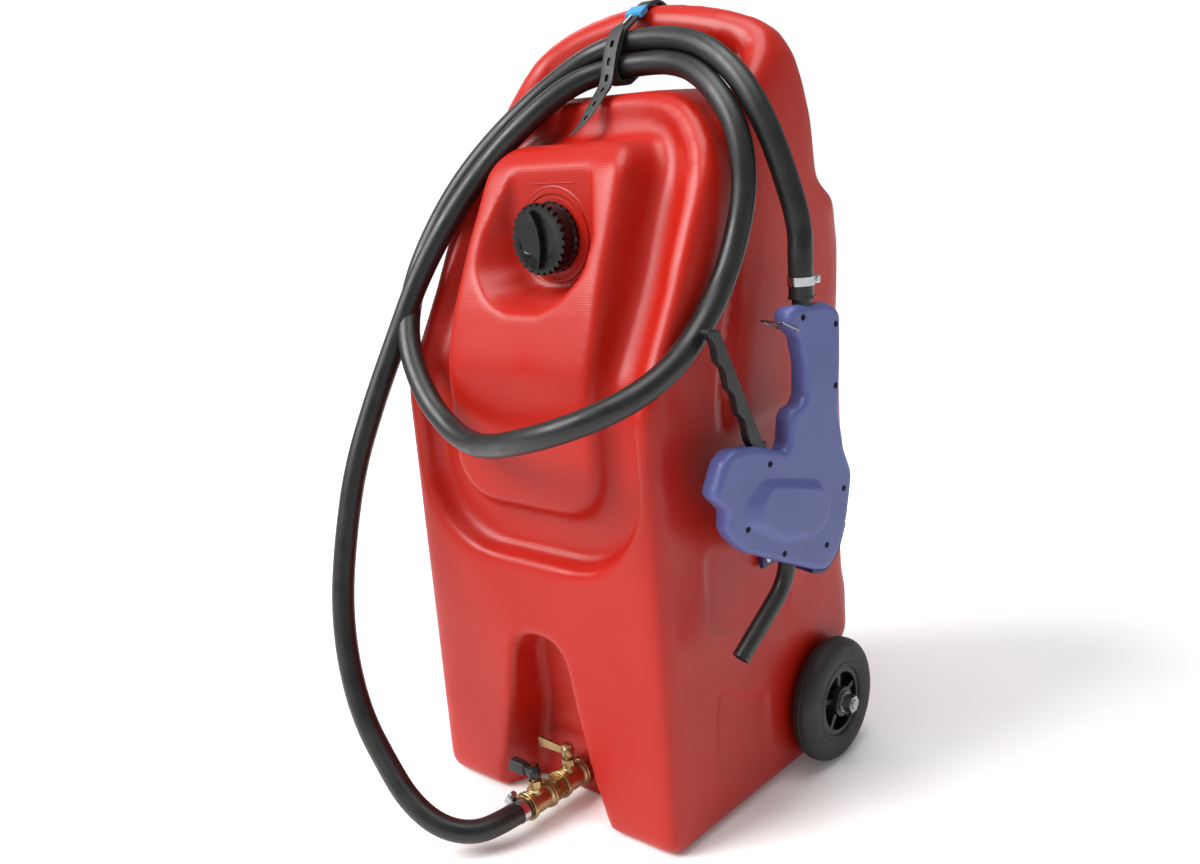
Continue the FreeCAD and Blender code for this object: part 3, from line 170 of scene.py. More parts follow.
def grown(corners: Sequence[Corner], by: float) -> list[Corner]:
    """Outline moved outwards by a distance, or inwards where the distance is negative.

    Args:
        corners: the outline's corners, listed anticlockwise.
        by: the distance in millimetres.

    Returns:
        The moved corners, each arc grown or shrunk with its side.
    """
    least = 0.3
    moved = []
    for index, (u, v, radius) in enumerate(corners):
        here = Vector((u, v))
        ahead = (Vector(corners[(index + 1) % len(corners)][:2]) - here).normalized()
        back = (here - Vector(corners[index - 1][:2])).normalized()
        normal, next_normal = Vector((back.y, -back.x)), Vector((ahead.y, -ahead.x))
        middle = (normal + next_normal).normalized()
        spot = here + middle * (by / max(least, middle.dot(normal)))
        convex = back.x * ahead.y - back.y * ahead.x > 0
        moved.append((spot.x, spot.y, max(least, radius + by if convex else radius - by)))
    return moved


def slab(name: str, corners: Sequence[Corner], where: Matrix, start: float, end: float,
         far_corners: Sequence[Corner] | None = None) -> bpy.types.Object:
    """Solid between two depths of a flat outline, straight or tapered.

    Args:
        name: name of the new piece.
        corners: the outline at the start depth.
        where: placement of the outline in space.
        start: first depth in millimetres.
        end: second depth in millimetres.
        far_corners: the outline at the end depth, with as many corners, where it tapers.

    Returns:
        The new piece.
    """
    near = rounded(corners)
    far = rounded(far_corners) if far_corners else near
    bpy.ops.object.select_all(action="DESELECT")
    bpy.ops.mesh.primitive_circle_add(vertices=len(near), radius=MM, fill_type="NGON")
    piece = bpy.context.object
    piece.name = name
    for vertex, point in zip(piece.data.vertices, near):
        vertex.co = (point.x * MM, point.y * MM, start * MM)
    bpy.ops.object.mode_set(mode="EDIT")
    bpy.ops.mesh.select_all(action="SELECT")
    bpy.ops.mesh.extrude_region_move(TRANSFORM_OT_translate={"value": (0, 0, (end - start) * MM)})
    bpy.ops.object.mode_set(mode="OBJECT")
    moved = [v for v in piece.data.vertices if v.select]
    for vertex in moved:
        nearest = min(range(len(near)), key=lambda i: (near[i] - Vector(vertex.co[:2]) / MM).length_squared)
        vertex.co = (far[nearest].x * MM, far[nearest].y * MM, end * MM)
    outward(piece)
    piece.data.transform(where)
    return piece


def outward(piece: bpy.types.Object) -> None:
    """Merge a piece's doubles and turn every face outwards.

    Args:
        piece: the piece.
    """
    only(piece)
    bpy.ops.object.mode_set(mode="EDIT")
    bpy.ops.mesh.select_all(action="SELECT")
    bpy.ops.mesh.remove_doubles(threshold=MERGE * MM)
    bpy.ops.mesh.normals_make_consistent(inside=False)
    bpy.ops.object.mode_set(mode="OBJECT")


def loft(name: str, rings: Sequence[Sequence[Vector]]) -> bpy.types.Object:
    """Closed skin over rings of points, in millimetres, that follow each other.

    Args:
        name: name of the new piece.
        rings: the rings, all with the same number of points.

    Returns:
        The new piece.
    """
    around = len(rings[0])
    bpy.ops.object.select_all(action="DESELECT")
    bpy.ops.mesh.primitive_grid_add(x_subdivisions=around, y_subdivisions=len(rings) - 1, size=1)
    piece = bpy.context.object
    piece.name = name
    for index, vertex in enumerate(piece.data.vertices):
        row, column = divmod(index, around + 1)
        vertex.co = rings[row][column % around] * MM
    outward(piece)
    bpy.ops.object.mode_set(mode="EDIT")
    bpy.ops.mesh.select_all(action="DESELECT")
    bpy.ops.mesh.select_non_manifold()
    bpy.ops.mesh.fill_holes(sides=0)
    bpy.ops.object.mode_set(mode="OBJECT")
    outward(piece)
    return piece


def lathe(name: str, profile: Sequence[tuple[float, float]], origin: Vector, axis: Vector,
          steps: int = 64) -> bpy.types.Object:
    """Turned solid from a closed profile of radius and height.

    Args:
        name: name of the new piece.
        profile: radius and height pairs in millimetres, in order round the closed profile.
        origin: point of the axis at height zero, in millimetres.
        axis: direction of growing height.
        steps: number of steps round the axis.

    Returns:
        The new piece.
    """
    bpy.ops.object.select_all(action="DESELECT")
    bpy.ops.mesh.primitive_circle_add(vertices=len(profile), radius=MM, fill_type="NOTHING")
    piece = bpy.context.object
    piece.name = name
    for vertex, (radius, height) in zip(piece.data.vertices, profile):
        vertex.co = (radius * MM, 0, height * MM)
    bpy.ops.object.mode_set(mode="EDIT")
    bpy.ops.mesh.select_all(action="SELECT")
    bpy.ops.mesh.spin(steps=steps, angle=2 * math.pi, center=(0, 0, 0), axis=(0, 0, 1))
    bpy.ops.object.mode_set(mode="OBJECT")
    outward(piece)
    turn = Z_AXIS.rotation_difference(axis).to_matrix().to_4x4()
    piece.data.transform(Matrix.Translation(origin * MM) @ turn)
    return piece


def combine(target: bpy.types.Object, tool: bpy.types.Object, how: Join) -> None:
    """Work one solid on another and remove the tool.

    Args:
        target: the solid that stays.
        tool: the solid that works on it and goes.
        how: what the tool does.
    """
    change = target.modifiers.new("join", "BOOLEAN")
    change.operation = how.value
    change.solver = "EXACT"
    change.object = tool
    finish_modifiers(target)
    bpy.data.objects.remove(tool)


def finish_modifiers(piece: bpy.types.Object) -> None:
    """Apply every modifier of a piece.

    Args:
        piece: the piece.
    """
    only(piece)
    for modifier in list(piece.modifiers):
        bpy.ops.object.modifier_apply(modifier=modifier.name)


def join(pieces: Sequence[bpy.types.Object]) -> bpy.types.Object:
    """Put several meshes into the first one's object.

    Args:
        pieces: the pieces, of which the first one stays.

    Returns:
        The first piece, which now holds them all.
    """
    only(pieces[0])
    for piece in pieces[1:]:
        piece.select_set(True)
    bpy.ops.object.join()
    return pieces[0]


def skin(piece: bpy.types.Object, cell: float, rounds: int) -> None:
    """Remesh a piece in even cells and soften its edges, as a moulded wall has them.

    Args:
        piece: the piece.
        cell: cell size in millimetres.
        rounds: number of smoothing rounds.
    """
    remesh = piece.modifiers.new("cells", "REMESH")
    remesh.mode = "VOXEL"
    remesh.voxel_size = cell * MM
    soften = piece.modifiers.new("soften", "SMOOTH")
    soften.iterations = rounds
    soften.factor = 0.5
    finish_modifiers(piece)


def bevel(piece: bpy.types.Object, width: float, segments: int = 3, angle: float = 32.0) -> None:
    """Round the sharp edges of a piece and shade it smooth between them.

    Args:
        piece: the piece.
        width: width of the rounding in millimetres.
        segments: number of faces across the rounding.
        angle: angle in degrees above which an edge counts as sharp.
    """
    change = piece.modifiers.new("edges", "BEVEL")
    change.width = width * MM
    change.segments = segments
    change.limit_method = "ANGLE"
    change.angle_limit = math.radians(angle)
    finish_modifiers(piece)
    smooth(piece, angle)


def smooth(piece: bpy.types.Object, angle: float = 40.0) -> None:
    """Shade a piece smooth up to an angle between its faces."""
    only(piece)
    bpy.ops.object.shade_smooth_by_angle(angle=math.radians(angle))


def wire(name: str, points: Sequence[Vector], radius: float) -> bpy.types.Object:
    """Round bar along a smooth line, as a mesh.

    Args:
        name: name of the new piece.
        points: control points of the line in millimetres.
        radius: radius of the bar in millimetres.

    Returns:
        The new piece.
    """
    curve = line(name, points)
    curve.data.bevel_depth = radius * MM
    curve.data.bevel_resolution = 4
    curve.data.resolution_u = 10
    curve.data.use_fill_caps = True
    only(curve)
    bpy.ops.object.convert(target="MESH")
    piece = bpy.context.object
    outward(piece)
    smooth(piece)
    return piece


def line(name: str, points: Sequence[Vector]) -> bpy.types.Object:
    """Smooth open curve.

    Args:
        name: name of the new curve.
        points: its control points in millimetres.

    Returns:
        The curve, with no thickness yet.
    """
    data = bpy.data.curves.new(name, "CURVE")
    data.dimensions = "3D"
    spline = data.splines.new("NURBS")
    spline.points.add(len(points) - 1)
    for control, point in zip(spline.points, points):
        control.co = (*(point * MM), 1.0)
    spline.order_u = 3
    spline.use_endpoint_u = True
    curve = bpy.data.objects.new(name, data)
    bpy.context.scene.collection.objects.link(curve)
    return curve


# ---------------------------------------------------------------- finishes
def linear(code: str) -> tuple[float, float, float, float]:
    """Linear colour of an sRGB hex code.

    Args:
        code: the sRGB colour, as # and six hex digits.

    Returns:
        Red, green, blue and alpha in linear light.
    """
    parts = [int(code[i:i + 2], 16) / 255 for i in (1, 3, 5)]
    red, green, blue = (p / 12.92 if p <= 0.04045 else ((p + 0.055) / 1.055) ** 2.4 for p in parts)
    return red, green, blue, 1.0


def add_node(tree: bpy.types.NodeTree, kind: str, links: dict | None = None, values: dict | None = None,
             **settings: object) -> bpy.types.Node:
    """Add one shader node with its settings, values and incoming links.

    Args:
        tree: the material's node tree.
        kind: the node's type name.
        links: input name or number to the socket that feeds it.
        values: input name or number to its value.
        **settings: attributes of the node.

    Returns:
        The new node.
    """
    node = tree.nodes.new(kind)
    for key, value in settings.items():
        setattr(node, key, value)
    for key, value in (values or {}).items():
        node.inputs[key].default_value = value
    for key, socket in (links or {}).items():
        tree.links.new(socket, node.inputs[key])
    return node


@dataclass(frozen=True)
class Finish:
    """Finish of one material: its colours, shine and surface grain.

    Sizes are millimetres.  mottle is the size of the slow colour change, grain the size of the fine
    surface texture and relief its height.  bump_strength is how much of that height is seen.
    """

    name: str
    colour: str
    second: str
    roughness: float
    metallic: float = 0.0
    mottle: float = 40.0
    grain: float = 2.0
    relief: float = 0.05
    rough_spread: float = 0.08
    ior: float = 1.5
    bump_strength: float = 0.6

    def build(self) -> bpy.types.Material:
        """Make the node material.

        Returns:
            The material.
        """
        material = bpy.data.materials.new(self.name)
        material.use_nodes = True
        tree = material.node_tree
        shader = tree.nodes["Principled BSDF"]
        place = add_node(tree, "ShaderNodeTexCoord")
        slow = add_node(tree, "ShaderNodeTexNoise", {"Vector": place.outputs["Object"]},
                        {"Scale": 1 / (self.mottle * MM), "Detail": 3.0})
        fine = add_node(tree, "ShaderNodeTexNoise", {"Vector": place.outputs["Object"]},
                        {"Scale": 1 / (self.grain * MM), "Detail": 2.0})
        blend = add_node(tree, "ShaderNodeMix", {"Factor": slow.outputs["Fac"]}, data_type="RGBA")
        blend.inputs["A"].default_value = linear(self.colour)
        blend.inputs["B"].default_value = linear(self.second)
        shine = add_node(tree, "ShaderNodeMapRange", {"Value": slow.outputs["Fac"]},
                         {"From Min": NOISE_LOW, "From Max": NOISE_HIGH,
                          "To Min": self.roughness - self.rough_spread,
                          "To Max": self.roughness + self.rough_spread})
        bump = add_node(tree, "ShaderNodeBump", {"Height": fine.outputs["Fac"]},
                        {"Strength": self.bump_strength, "Distance": self.relief * MM})
        tree.links.new(blend.outputs["Result"], shader.inputs["Base Color"])
        tree.links.new(shine.outputs["Result"], shader.inputs["Roughness"])
        tree.links.new(bump.outputs["Normal"], shader.inputs["Normal"])
        shader.inputs["Metallic"].default_value = self.metallic
        if not self.metallic:
            shader.inputs["IOR"].default_value = self.ior
        self.adjust(tree, shader, place)
        return material

    def adjust(self, tree: bpy.types.NodeTree, shader: bpy.types.Node, place: bpy.types.Node) -> None:
        """Leave the common nodes as they are."""


@dataclass(frozen=True)
class MilledMould(Finish):
    """Moulded finish that repeats the mould cutter's fine steps inside the sunk shelf.

    Sizes are millimetres.  step is the height of one cutter step, step_relief its depth, step_strength how
    much of it is seen and waver how far the steps stray from level.  half_width to rear are the shelf's
    limits and fade is the width over which the steps die away.
    """

    step: float = 2.7
    step_relief: float = 0.10
    step_strength: float = 0.5
    waver: float = 1.2
    half_width: float = 160.0
    low: float = 300.0
    high: float = 800.0
    front: float = -178.0
    rear: float = -10.0
    fade: float = 12.0

    def adjust(self, tree: bpy.types.NodeTree, shader: bpy.types.Node, place: bpy.types.Node) -> None:
        """Add the steps as thin level bands, faded out beyond the shelf.

        Args:
            tree: the material's node tree.
            shader: its shader.
            place: its texture coordinates.
        """
        where = place.outputs["Object"]
        axes = add_node(tree, "ShaderNodeSeparateXYZ", {"Vector": where})
        side = add_node(tree, "ShaderNodeMath", {0: axes.outputs["X"]}, operation="ABSOLUTE")
        edges = ((side.outputs["Value"], self.half_width, -self.fade),
                 (axes.outputs["Z"], self.low, self.fade), (axes.outputs["Z"], self.high, -self.fade),
                 (axes.outputs["Y"], self.front, self.fade), (axes.outputs["Y"], self.rear, -self.fade))
        mask = None
        for socket, start, width in edges:
            edge = add_node(tree, "ShaderNodeMapRange", {"Value": socket},
                            {"From Min": start * MM, "From Max": (start + width) * MM},
                            interpolation_type="SMOOTHSTEP")
            mask = edge if mask is None else add_node(
                tree, "ShaderNodeMath", {0: mask.outputs[0], 1: edge.outputs[0]}, operation="MULTIPLY")
        bands = add_node(tree, "ShaderNodeTexWave", {"Vector": where},
                         {"Scale": 2 * math.pi / (WAVE_BANDS * self.step * MM), "Distortion": self.waver,
                          "Detail": 1.0, "Detail Scale": 0.2}, bands_direction="Z")
        height = add_node(tree, "ShaderNodeMath", {0: bands.outputs["Fac"], 1: mask.outputs[0]},
                          operation="MULTIPLY")
        old = shader.inputs["Normal"].links[0].from_socket
        bump = add_node(tree, "ShaderNodeBump", {"Height": height.outputs[0], "Normal": old},
                        {"Strength": self.step_strength, "Distance": self.step_relief * MM})
        tree.links.new(bump.outputs["Normal"], shader.inputs["Normal"])


# The grain of a moulded or rolled surface is really 0.05 to 0.3 mm.  It is drawn 0.4 to 1.5 mm coarse,
# because a finer one doesn't show at this distance.  The tank's orange peel is a few millimetres wide,
# as drawn.
#
# Linear polyethylene, rotationally moulded: a waxy satin wall with a slight orange peel.
TANK_RED = MilledMould("rotomoulded_red_polyethylene", "#B01A0A", "#A41608", 0.38, mottle=90, grain=3.2,
                       relief=0.10, ior=1.4)
# Polypropylene, injection moulded and glossy where hands polish it.
CAP_BLACK = Finish("moulded_black_polypropylene", "#0D0D0E", "#141415", 0.26, mottle=15, grain=0.8,
                   relief=0.02, ior=1.42)
# Nylon filled with glass fibre, injection moulded: a dull black with a slightly dry skin.
PLASTIC_BLACK = Finish("glass_filled_black_nylon", "#141415", "#1C1C1D", 0.42, mottle=20, grain=0.9,
                       relief=0.05)
# Nitrile rubber, extruded and cured in a cloth wrap: a satin black with a faintly uneven skin.
HOSE_BLACK = Finish("nitrile_hose_rubber", "#0F1010", "#181919", 0.40, mottle=25, grain=1.5, relief=0.14)
# Natural rubber, vulcanised in a flat mould: a soft grey-black with almost no gloss.
STRAP_BLACK = Finish("vulcanised_strap_rubber", "#1C1D1E", "#252627", 0.55, mottle=15, grain=1.0, relief=0.05)
# Nitrile rubber, moulded: plain dull black.
GASKET_BLACK = Finish("nitrile_gasket_rubber", "#151515", "#1C1C1C", 0.6, mottle=10, grain=0.8, relief=0.03)
# Solid rubber, press moulded: a dull charcoal.
TYRE_BLACK = Finish("solid_tyre_rubber", "#1E1E1E", "#2A2A29", 0.62, mottle=20, grain=1.4, relief=0.08)
# Brass, cast bodies and turned rings: warm and a little tarnished in the castings.
BRASS = Finish("turned_brass", "#BDA67A", "#98825A", 0.36, metallic=1.0, mottle=9, grain=0.7, relief=0.02)
# Steel, zinc plated: a pale cool grey with a soft gloss.
ZINC = Finish("zinc_plated_steel", "#B9BBBD", "#A2A5A8", 0.32, metallic=1.0, mottle=8, grain=0.5, relief=0.01)
# Stainless steel, rolled into strip: bright, with narrow soft reflections.
STAINLESS = Finish("rolled_stainless_band", "#C6C8CB", "#AEB1B5", 0.24, metallic=1.0, mottle=10, grain=0.4,
                   relief=0.01)
# Steel, blackened in oil: nearly black, with the gloss of metal. On the nozzle's housing screws this
# near-black also stands in for the shade deep in their holes: painted shade.
DARK_STEEL_AND_HOLE_SHADE = Finish("blackened_steel_and_painted_hole_shade", "#2C2D2F", "#242527", 0.38, metallic=1.0, mottle=6, grain=0.5,
                    relief=0.01)
# Steel, drawn into wire: a smooth mid grey.
SPRING_STEEL = Finish("drawn_spring_wire", "#9EA1A5", "#888B90", 0.3, metallic=1.0, mottle=8, grain=0.5,
                      relief=0.01)
# Brass, ground and chromed: close to a mirror.
CHROMED = Finish("chromed_brass_ball", "#D6D8DA", "#CDD0D2", 0.08, metallic=1.0, mottle=10, grain=1.0,
                 relief=0.0, rough_spread=0.02)
# PTFE, moulded and turned: off-white and waxy.
SEAT_WHITE = Finish("moulded_white_ptfe", "#E4E2DC", "#D9D7D0", 0.42, mottle=10, grain=1.0, relief=0.02)
# Acetal, injection moulded: a clear and fairly glossy blue.
KEEPER_BLUE = Finish("moulded_blue_acetal", "#2F8FC4", "#2A80B4", 0.28, mottle=8, grain=0.8, relief=0.02)
# Polypropylene, moulded in a spark-eroded cavity: blue-violet under an even matt grain.
NOZZLE_VIOLET = Finish("spark_eroded_blue_violet_polypropylene", "#545C96", "#4D5588", 0.40, mottle=35,
                       grain=0.9, relief=0.06)
# Polypropylene, injection moulded: dark blue and satin.
HOLDER_BLUE = Finish("moulded_dark_blue_polypropylene", "#232A5C", "#1D234E", 0.45, mottle=20, grain=0.9,
                     relief=0.05)

CAD_FINISH = {
    BRASS: ["outlet_bushing", "hex_nipple", "hose_barb", "valve1_body", "valve2_body", "valve1_stem",
            "valve2_stem", "valve1_gland", "valve2_gland", "valve1_lever", "valve1_nut"],
    PLASTIC_BLACK: ["valve2_lever", "pump_lever", "spout", "inlet_barb", "inlet_tube", "pump_piston",
                    "wheel_hub_left", "wheel_hub_right"],
    CHROMED: ["valve1_ball", "valve2_ball"],
    SEAT_WHITE: ["valve1_seats", "valve2_seats", "pump_cylinder", "wheel_bush_left", "wheel_bush_right"],
    ZINC: ["hose_clamp_screw", "nozzle_clamp_screw", "lever_pin", "holder_screws", "axle", "axle_washers",
           "axle_nuts", "strap_prong"],
    STAINLESS: ["hose_clamp_band", "nozzle_clamp_band"],
    # The housing screws are near-black partly as painted shade of the deep holes they sit in.
    DARK_STEEL_AND_HOLE_SHADE: ["housing_screws", "valve2_nut"],
    SPRING_STEEL: ["lever_latch", "inlet_check_ball", "outlet_check_ball", "return_spring"],
    STRAP_BLACK: ["hose_strap"],
    KEEPER_BLUE: ["strap_keeper"],
    HOLDER_BLUE: ["nozzle_holder"],
    CAP_BLACK: ["cap_vent_poppet", "filler_cap"],
    GASKET_BLACK: ["cap_gasket"],
    NOZZLE_VIOLET: ["housing_inner", "housing_outer"],
    TYRE_BLACK: ["tyre_left", "tyre_right"],
    TANK_RED: ["filler_neck"],
}


@dataclass
class Workshop:
    """Keeps the frame and the materials, and hands finished pieces to their bodies."""

    frame: dict

    def __post_init__(self) -> None:
        """Start with no material made."""
        self.made: dict[str, bpy.types.Material] = {}

    def material(self, finish: Finish) -> bpy.types.Material:
        """The finish's material, made once.

        Args:
            finish: the finish.

        Returns:
            Its material.
        """
        if finish.name not in self.made:
            self.made[finish.name] = finish.build()
        return self.made[finish.name]

    def dress(self, piece: bpy.types.Object, finish: Finish) -> None:
        """Give a piece one finish."""
        piece.data.materials.clear()
        piece.data.materials.append(self.material(finish))

    def deliver(self, piece: bpy.types.Object, finish: Finish, body: str = "root",
                replaces: Sequence[str] = ()) -> None:
        """Dress a new piece and hang it on its body.

        Args:
            piece: the finished piece.
            finish: its finish.
            body: the body it rides on.
            replaces: the frame's nodes that it stands for.
        """
        self.dress(piece, finish)
        if replaces:
            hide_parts(*replaces)
        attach(piece, body)
        LOG.info("%s rides on %s, %d faces", piece.name, body, len(getattr(piece.data, "polygons", [])))

    def dress_frame(self) -> None:
        """Give each node named in CAD_FINISH its finish."""
        for finish, names in CAD_FINISH.items():
            for name in names:
                node = self.frame["nodes"][name]
                self.dress(node, finish)
                LOG.info("%s wears %s", name, finish.name)


# ---------------------------------------------------------------- tank
@dataclass
class MouldedTank:
    """Hollow moulded tank: body, sunk shelf, front block, pocket, notch and loop handle.

    The cells are the remesh sizes of the plain body, of body and handle together, and of the finished wall,
    each with its rounds of smoothing.  block, pocket and notch reach from their first to their second
    distance behind the front face.  dimple holds a dimple's x, its distance behind that face and its z.
    """

    half_width: float = 184.0
    depth: float = 384.0
    body_top: float = 806.0
    top_corner: float = 115.0
    body_cell: tuple[float, int] = (5.0, 12)
    joined_cell: tuple[float, int] = (4.6, 9)
    wall_cell: tuple[float, int] = (4.6, 8)
    handle_steps: int = 36
    plan_reach: tuple[float, float] = (-10.0, 900.0)
    block_reach: tuple[float, float] = (0.0, 150.0)
    pocket_reach: tuple[float, float] = (20.0, 88.0)
    notch_reach: tuple[float, float] = (-4.0, 60.0)
    panel_depth: float = 3.0
    panel_clear: float = 30.0
    crease_radius: float = 11.0
    crease_x: float = 190.0
    crease_lead: float = 6.0
    dimple: tuple[float, float, float] = (71.0, 26.5, 599.0)

    def body(self) -> bpy.types.Object:
        """Body between its side outline, its front outline and its plan.

        Returns:
            The plain body.
        """
        side = [
            (behind(0), 0, 16), (behind(0), 498, 60), (behind(62), 604, 200), (behind(118), 712, 150),
            (behind(150), 765, 40), (behind(172), 806, 45), (behind(335), 806, 12),
            (behind(335), 700, 10), (behind(376), 672, 10), (behind(384), 640, 20),
            (behind(384), 590, 15), (behind(371), 560, 15), (behind(371), 470, 6),
            (behind(384), 461, 6), (behind(384), 352, 15), (behind(368), 335, 15),
            (behind(368), 215, 15), (behind(383), 195, 10), (behind(383), 132, 10),
            (behind(352), 114, 10), (behind(335), 80, 20), (behind(328), 0, 10)]
        front = mirrored([(self.half_width, 0, 18), (self.half_width, self.body_top, self.top_corner)])
        plan = [(-self.half_width, behind(0), 15), (self.half_width, behind(0), 15),
                (self.half_width, behind(self.depth), 25), (-self.half_width, behind(self.depth), 25)]
        body = slab("tank_moulding", side, SIDE, -THROUGH_SIDE, THROUGH_SIDE)
        combine(body, slab("front", front, FACE, -THROUGH_FACE, THROUGH_FACE), Join.KEEP)
        combine(body, slab("plan", plan, PLAN, *self.plan_reach), Join.KEEP)
        return body

    def sunk_shelf(self) -> bpy.types.Object:
        """Room in front of the sunk floor that runs round the block and up the shelf.

        Returns:
            The room, as a tool that cuts it.
        """
        opening = mirrored([(162, 314, 100), (156, 600, 300), (146, 792, 112)])
        floor = [(behind(-30), 300, 0), (behind(27), 300, 0), (behind(27), 512, 60), (behind(50), 552, 80),
                 (behind(84), 608, 150), (behind(133), 705, 150), (behind(166), 765, 30),
                 (behind(176), 790, 15), (behind(170), 840, 0), (behind(-30), 840, 0)]
        room = slab("shelf_room", opening, FACE, -THROUGH_FACE, THROUGH_FACE)
        combine(room, slab("shelf_floor", floor, SIDE, -THROUGH_SIDE, THROUGH_SIDE), Join.KEEP)
        return room

    def block(self) -> bpy.types.Object:
        """Raised block that carries the filler pocket, its sides drawn in towards the front.

        Returns:
            The block.
        """
        foot = mirrored([(124, 352, 66), (122, 575, 200), (106, 762, 44)])
        brow = mirrored([(108, 374, 52), (109, 575, 200), (92, 752, 34)])
        side = [(behind(2), 360, 14), (behind(2), 528, 40), (behind(25), 600, 200),
                (behind(46), 648, 200), (behind(88), 736, 60), (behind(112), 757, 14),
                (behind(175), 757, 0), (behind(175), 352, 0)]
        near, far = self.block_reach
        block = slab("block", brow, FACE, -behind(near), -behind(far), foot)
        combine(block, slab("block_side", side, SIDE, -THROUGH_SIDE, THROUGH_SIDE), Join.KEEP)
        return block

    def pocket(self) -> bpy.types.Object:
        """Pocket for the filler: a flat back, upright side walls and a scooped floor.

        Returns:
            The pocket, as a tool that cuts it.
        """
        rim = mirrored([(26, 586, 40), (58, 599, 50), (90, 628, 50), (111, 664, 60), (100, 705, 60),
                        (72, 752, 10)])
        back = mirrored([(16, 603, 30), (38, 610, 40), (54, 632, 40), (58.5, 662, 40), (59, 700, 40),
                         (59, 740, 6)])
        near, far = self.pocket_reach
        return slab("pocket", rim, FACE, -behind(near), -behind(far), back)

    def notch(self) -> bpy.types.Object:
        """Arched notch low on the front that houses the first valve.

        Returns:
            The notch, as a tool that cuts it.
        """
        rim = mirrored([(96, -12, 0), (66, 78, 80), (50, 146, 80), (36, 224, 36)])
        back = mirrored([(70, -12, 0), (58, 78, 80), (42, 140, 80), (28, 206, 30)])
        floor = [(behind(-20), -12, 0), (behind(56), -12, 0), (behind(56), 105, 60), (behind(28), 236, 0),
                 (behind(-20), 236, 0)]
        near, far = self.notch_reach
        notch = slab("notch", rim, FACE, -behind(near), -behind(far), back)
        combine(notch, slab("notch_floor", floor, SIDE, -THROUGH_SIDE, THROUGH_SIDE), Join.KEEP)
        return notch

    def handle(self) -> bpy.types.Object:
        """Loop handle: two broad legs that narrow into a round bar bent over the top.

        A section is its outermost X and Z, the tilt of its outer side in degrees, its half thickness, its
        nearest and furthest distance behind the front face, and its squareness, where 2 is an ellipse.

        Returns:
            The handle.
        """
        sections = [
            (190, 452, 0, 24, 124, 362, 4.0), (190, 478, 0, 24, 131, 370, 4.0),
            (190, 520, 0, 24, 138, 370, 4.0), (190, 575, 0, 24, 158, 376, 4.0),
            (190, 622, 0, 24, 172, 378, 4.0), (190, 660, 0, 23, 176, 372, 3.6),
            (190, 700, 0, 22, 177, 337, 3.2), (190, 765, 0, 21, 182, 330, 2.8),
            (189, 805, 5, 22, 206, 318, 2.5), (185, 834, 18, 23, 229, 308, 2.3),
            (172, 858, 40, 24, 243, 300, 2.1), (149, 873, 60, 24, 248, 296, 2.0),
            (115, 885, 70, 24, 246, 294, 2.0), (78, 894, 78, 24, 246, 294, 2.0),
            (40, 900, 84, 24, 246, 294, 2.0), (0, 903, 90, 24, 246, 294, 2.0)]
        rings = []
        for mirror in (1, -1):
            for x, z, tilt, half, near, far, power in (sections if mirror == 1 else sections[-2::-1]):
                angle = math.radians(tilt)
                out = Vector((mirror * math.cos(angle), 0, math.sin(angle)))
                centre = Vector((mirror * x, behind((near + far) / 2), z)) - out * half
                ring = []
                for step in range(self.handle_steps):
                    turn = 2 * math.pi * step / self.handle_steps
                    c, s = math.cos(turn), math.sin(turn)
                    across = math.copysign(abs(c) ** (2 / power), c) * half
                    along = math.copysign(abs(s) ** (2 / power), s) * (far - near) / 2
                    ring.append(centre + out * across + Y_AXIS * along)
                rings.append(ring)
        return loft("handle", rings)

    def creases(self) -> list[bpy.types.Object]:
        """Round bars that cut the valley between the body's side walls and the legs' front edges.

        Returns:
            The bars, as tools that cut it.
        """
        run = [(132, 455), (131, 480), (136, 512), (156, 568), (172, 622), (177, 662), (178, 700), (182, 760),
               (196, 812)]
        bars = []
        for side in (-1, 1):
            points = [Vector((side * self.crease_x, behind(d - self.crease_lead), z)) for d, z in run]
            bars.append(wire("crease", points, self.crease_radius))
        return bars

    def side_panels(self) -> list[bpy.types.Object]:
        """Shallow panels low on both sides.

        Returns:
            The panels, as tools that cut them.
        """
        upper = [(behind(76), 240, 10), (behind(236), 176, 10), (behind(240), 280, 10), (behind(80), 333, 10)]
        lower = [(behind(80), 62, 10), (behind(182), 18, 10), (behind(186), 124, 10), (behind(88), 168, 10)]
        floor, outside = self.half_width - self.panel_depth, self.half_width + self.panel_clear
        panels = []
        for corners in (upper, lower):
            panels.append(slab("panel", corners, SIDE, floor, outside))
            panels.append(slab("panel", corners, SIDE, -outside, -floor))
        return panels

    def dimples(self) -> list[bpy.types.Object]:
        """Small round dimples in the block's face, one on each side of the pocket.

        Returns:
            The dimples, as tools that cut them.
        """
        profile = [(0, 0), (4.6, 0), (5.8, 3), (5.8, 14), (0, 14)]
        x, depth, z = self.dimple
        places = [Vector((side * x, behind(depth), z)) for side in (-1, 1)]
        return [lathe("dimple", profile, place, -Y_AXIS, 24) for place in places]

    def build(self, shop: Workshop) -> None:
        """Model the tank and hang it on the frame.

        Args:
            shop: the workshop that dresses the pieces and hangs them.
        """
        tank = self.body()
        combine(tank, self.sunk_shelf(), Join.CUT)
        combine(tank, self.block(), Join.ADD)
        skin(tank, *self.body_cell)
        tank = join([tank, self.handle()])
        skin(tank, *self.joined_cell)
        dimples = self.dimples()
        combine(tank, join([self.pocket(), self.notch(), *self.creases(), *self.side_panels()]), Join.CUT)
        combine(tank, join(dimples), Join.CUT)
        skin(tank, *self.wall_cell)
        only(tank)
        bpy.ops.object.shade_smooth()
        shop.deliver(tank, TANK_RED, replaces=["tank_body"])


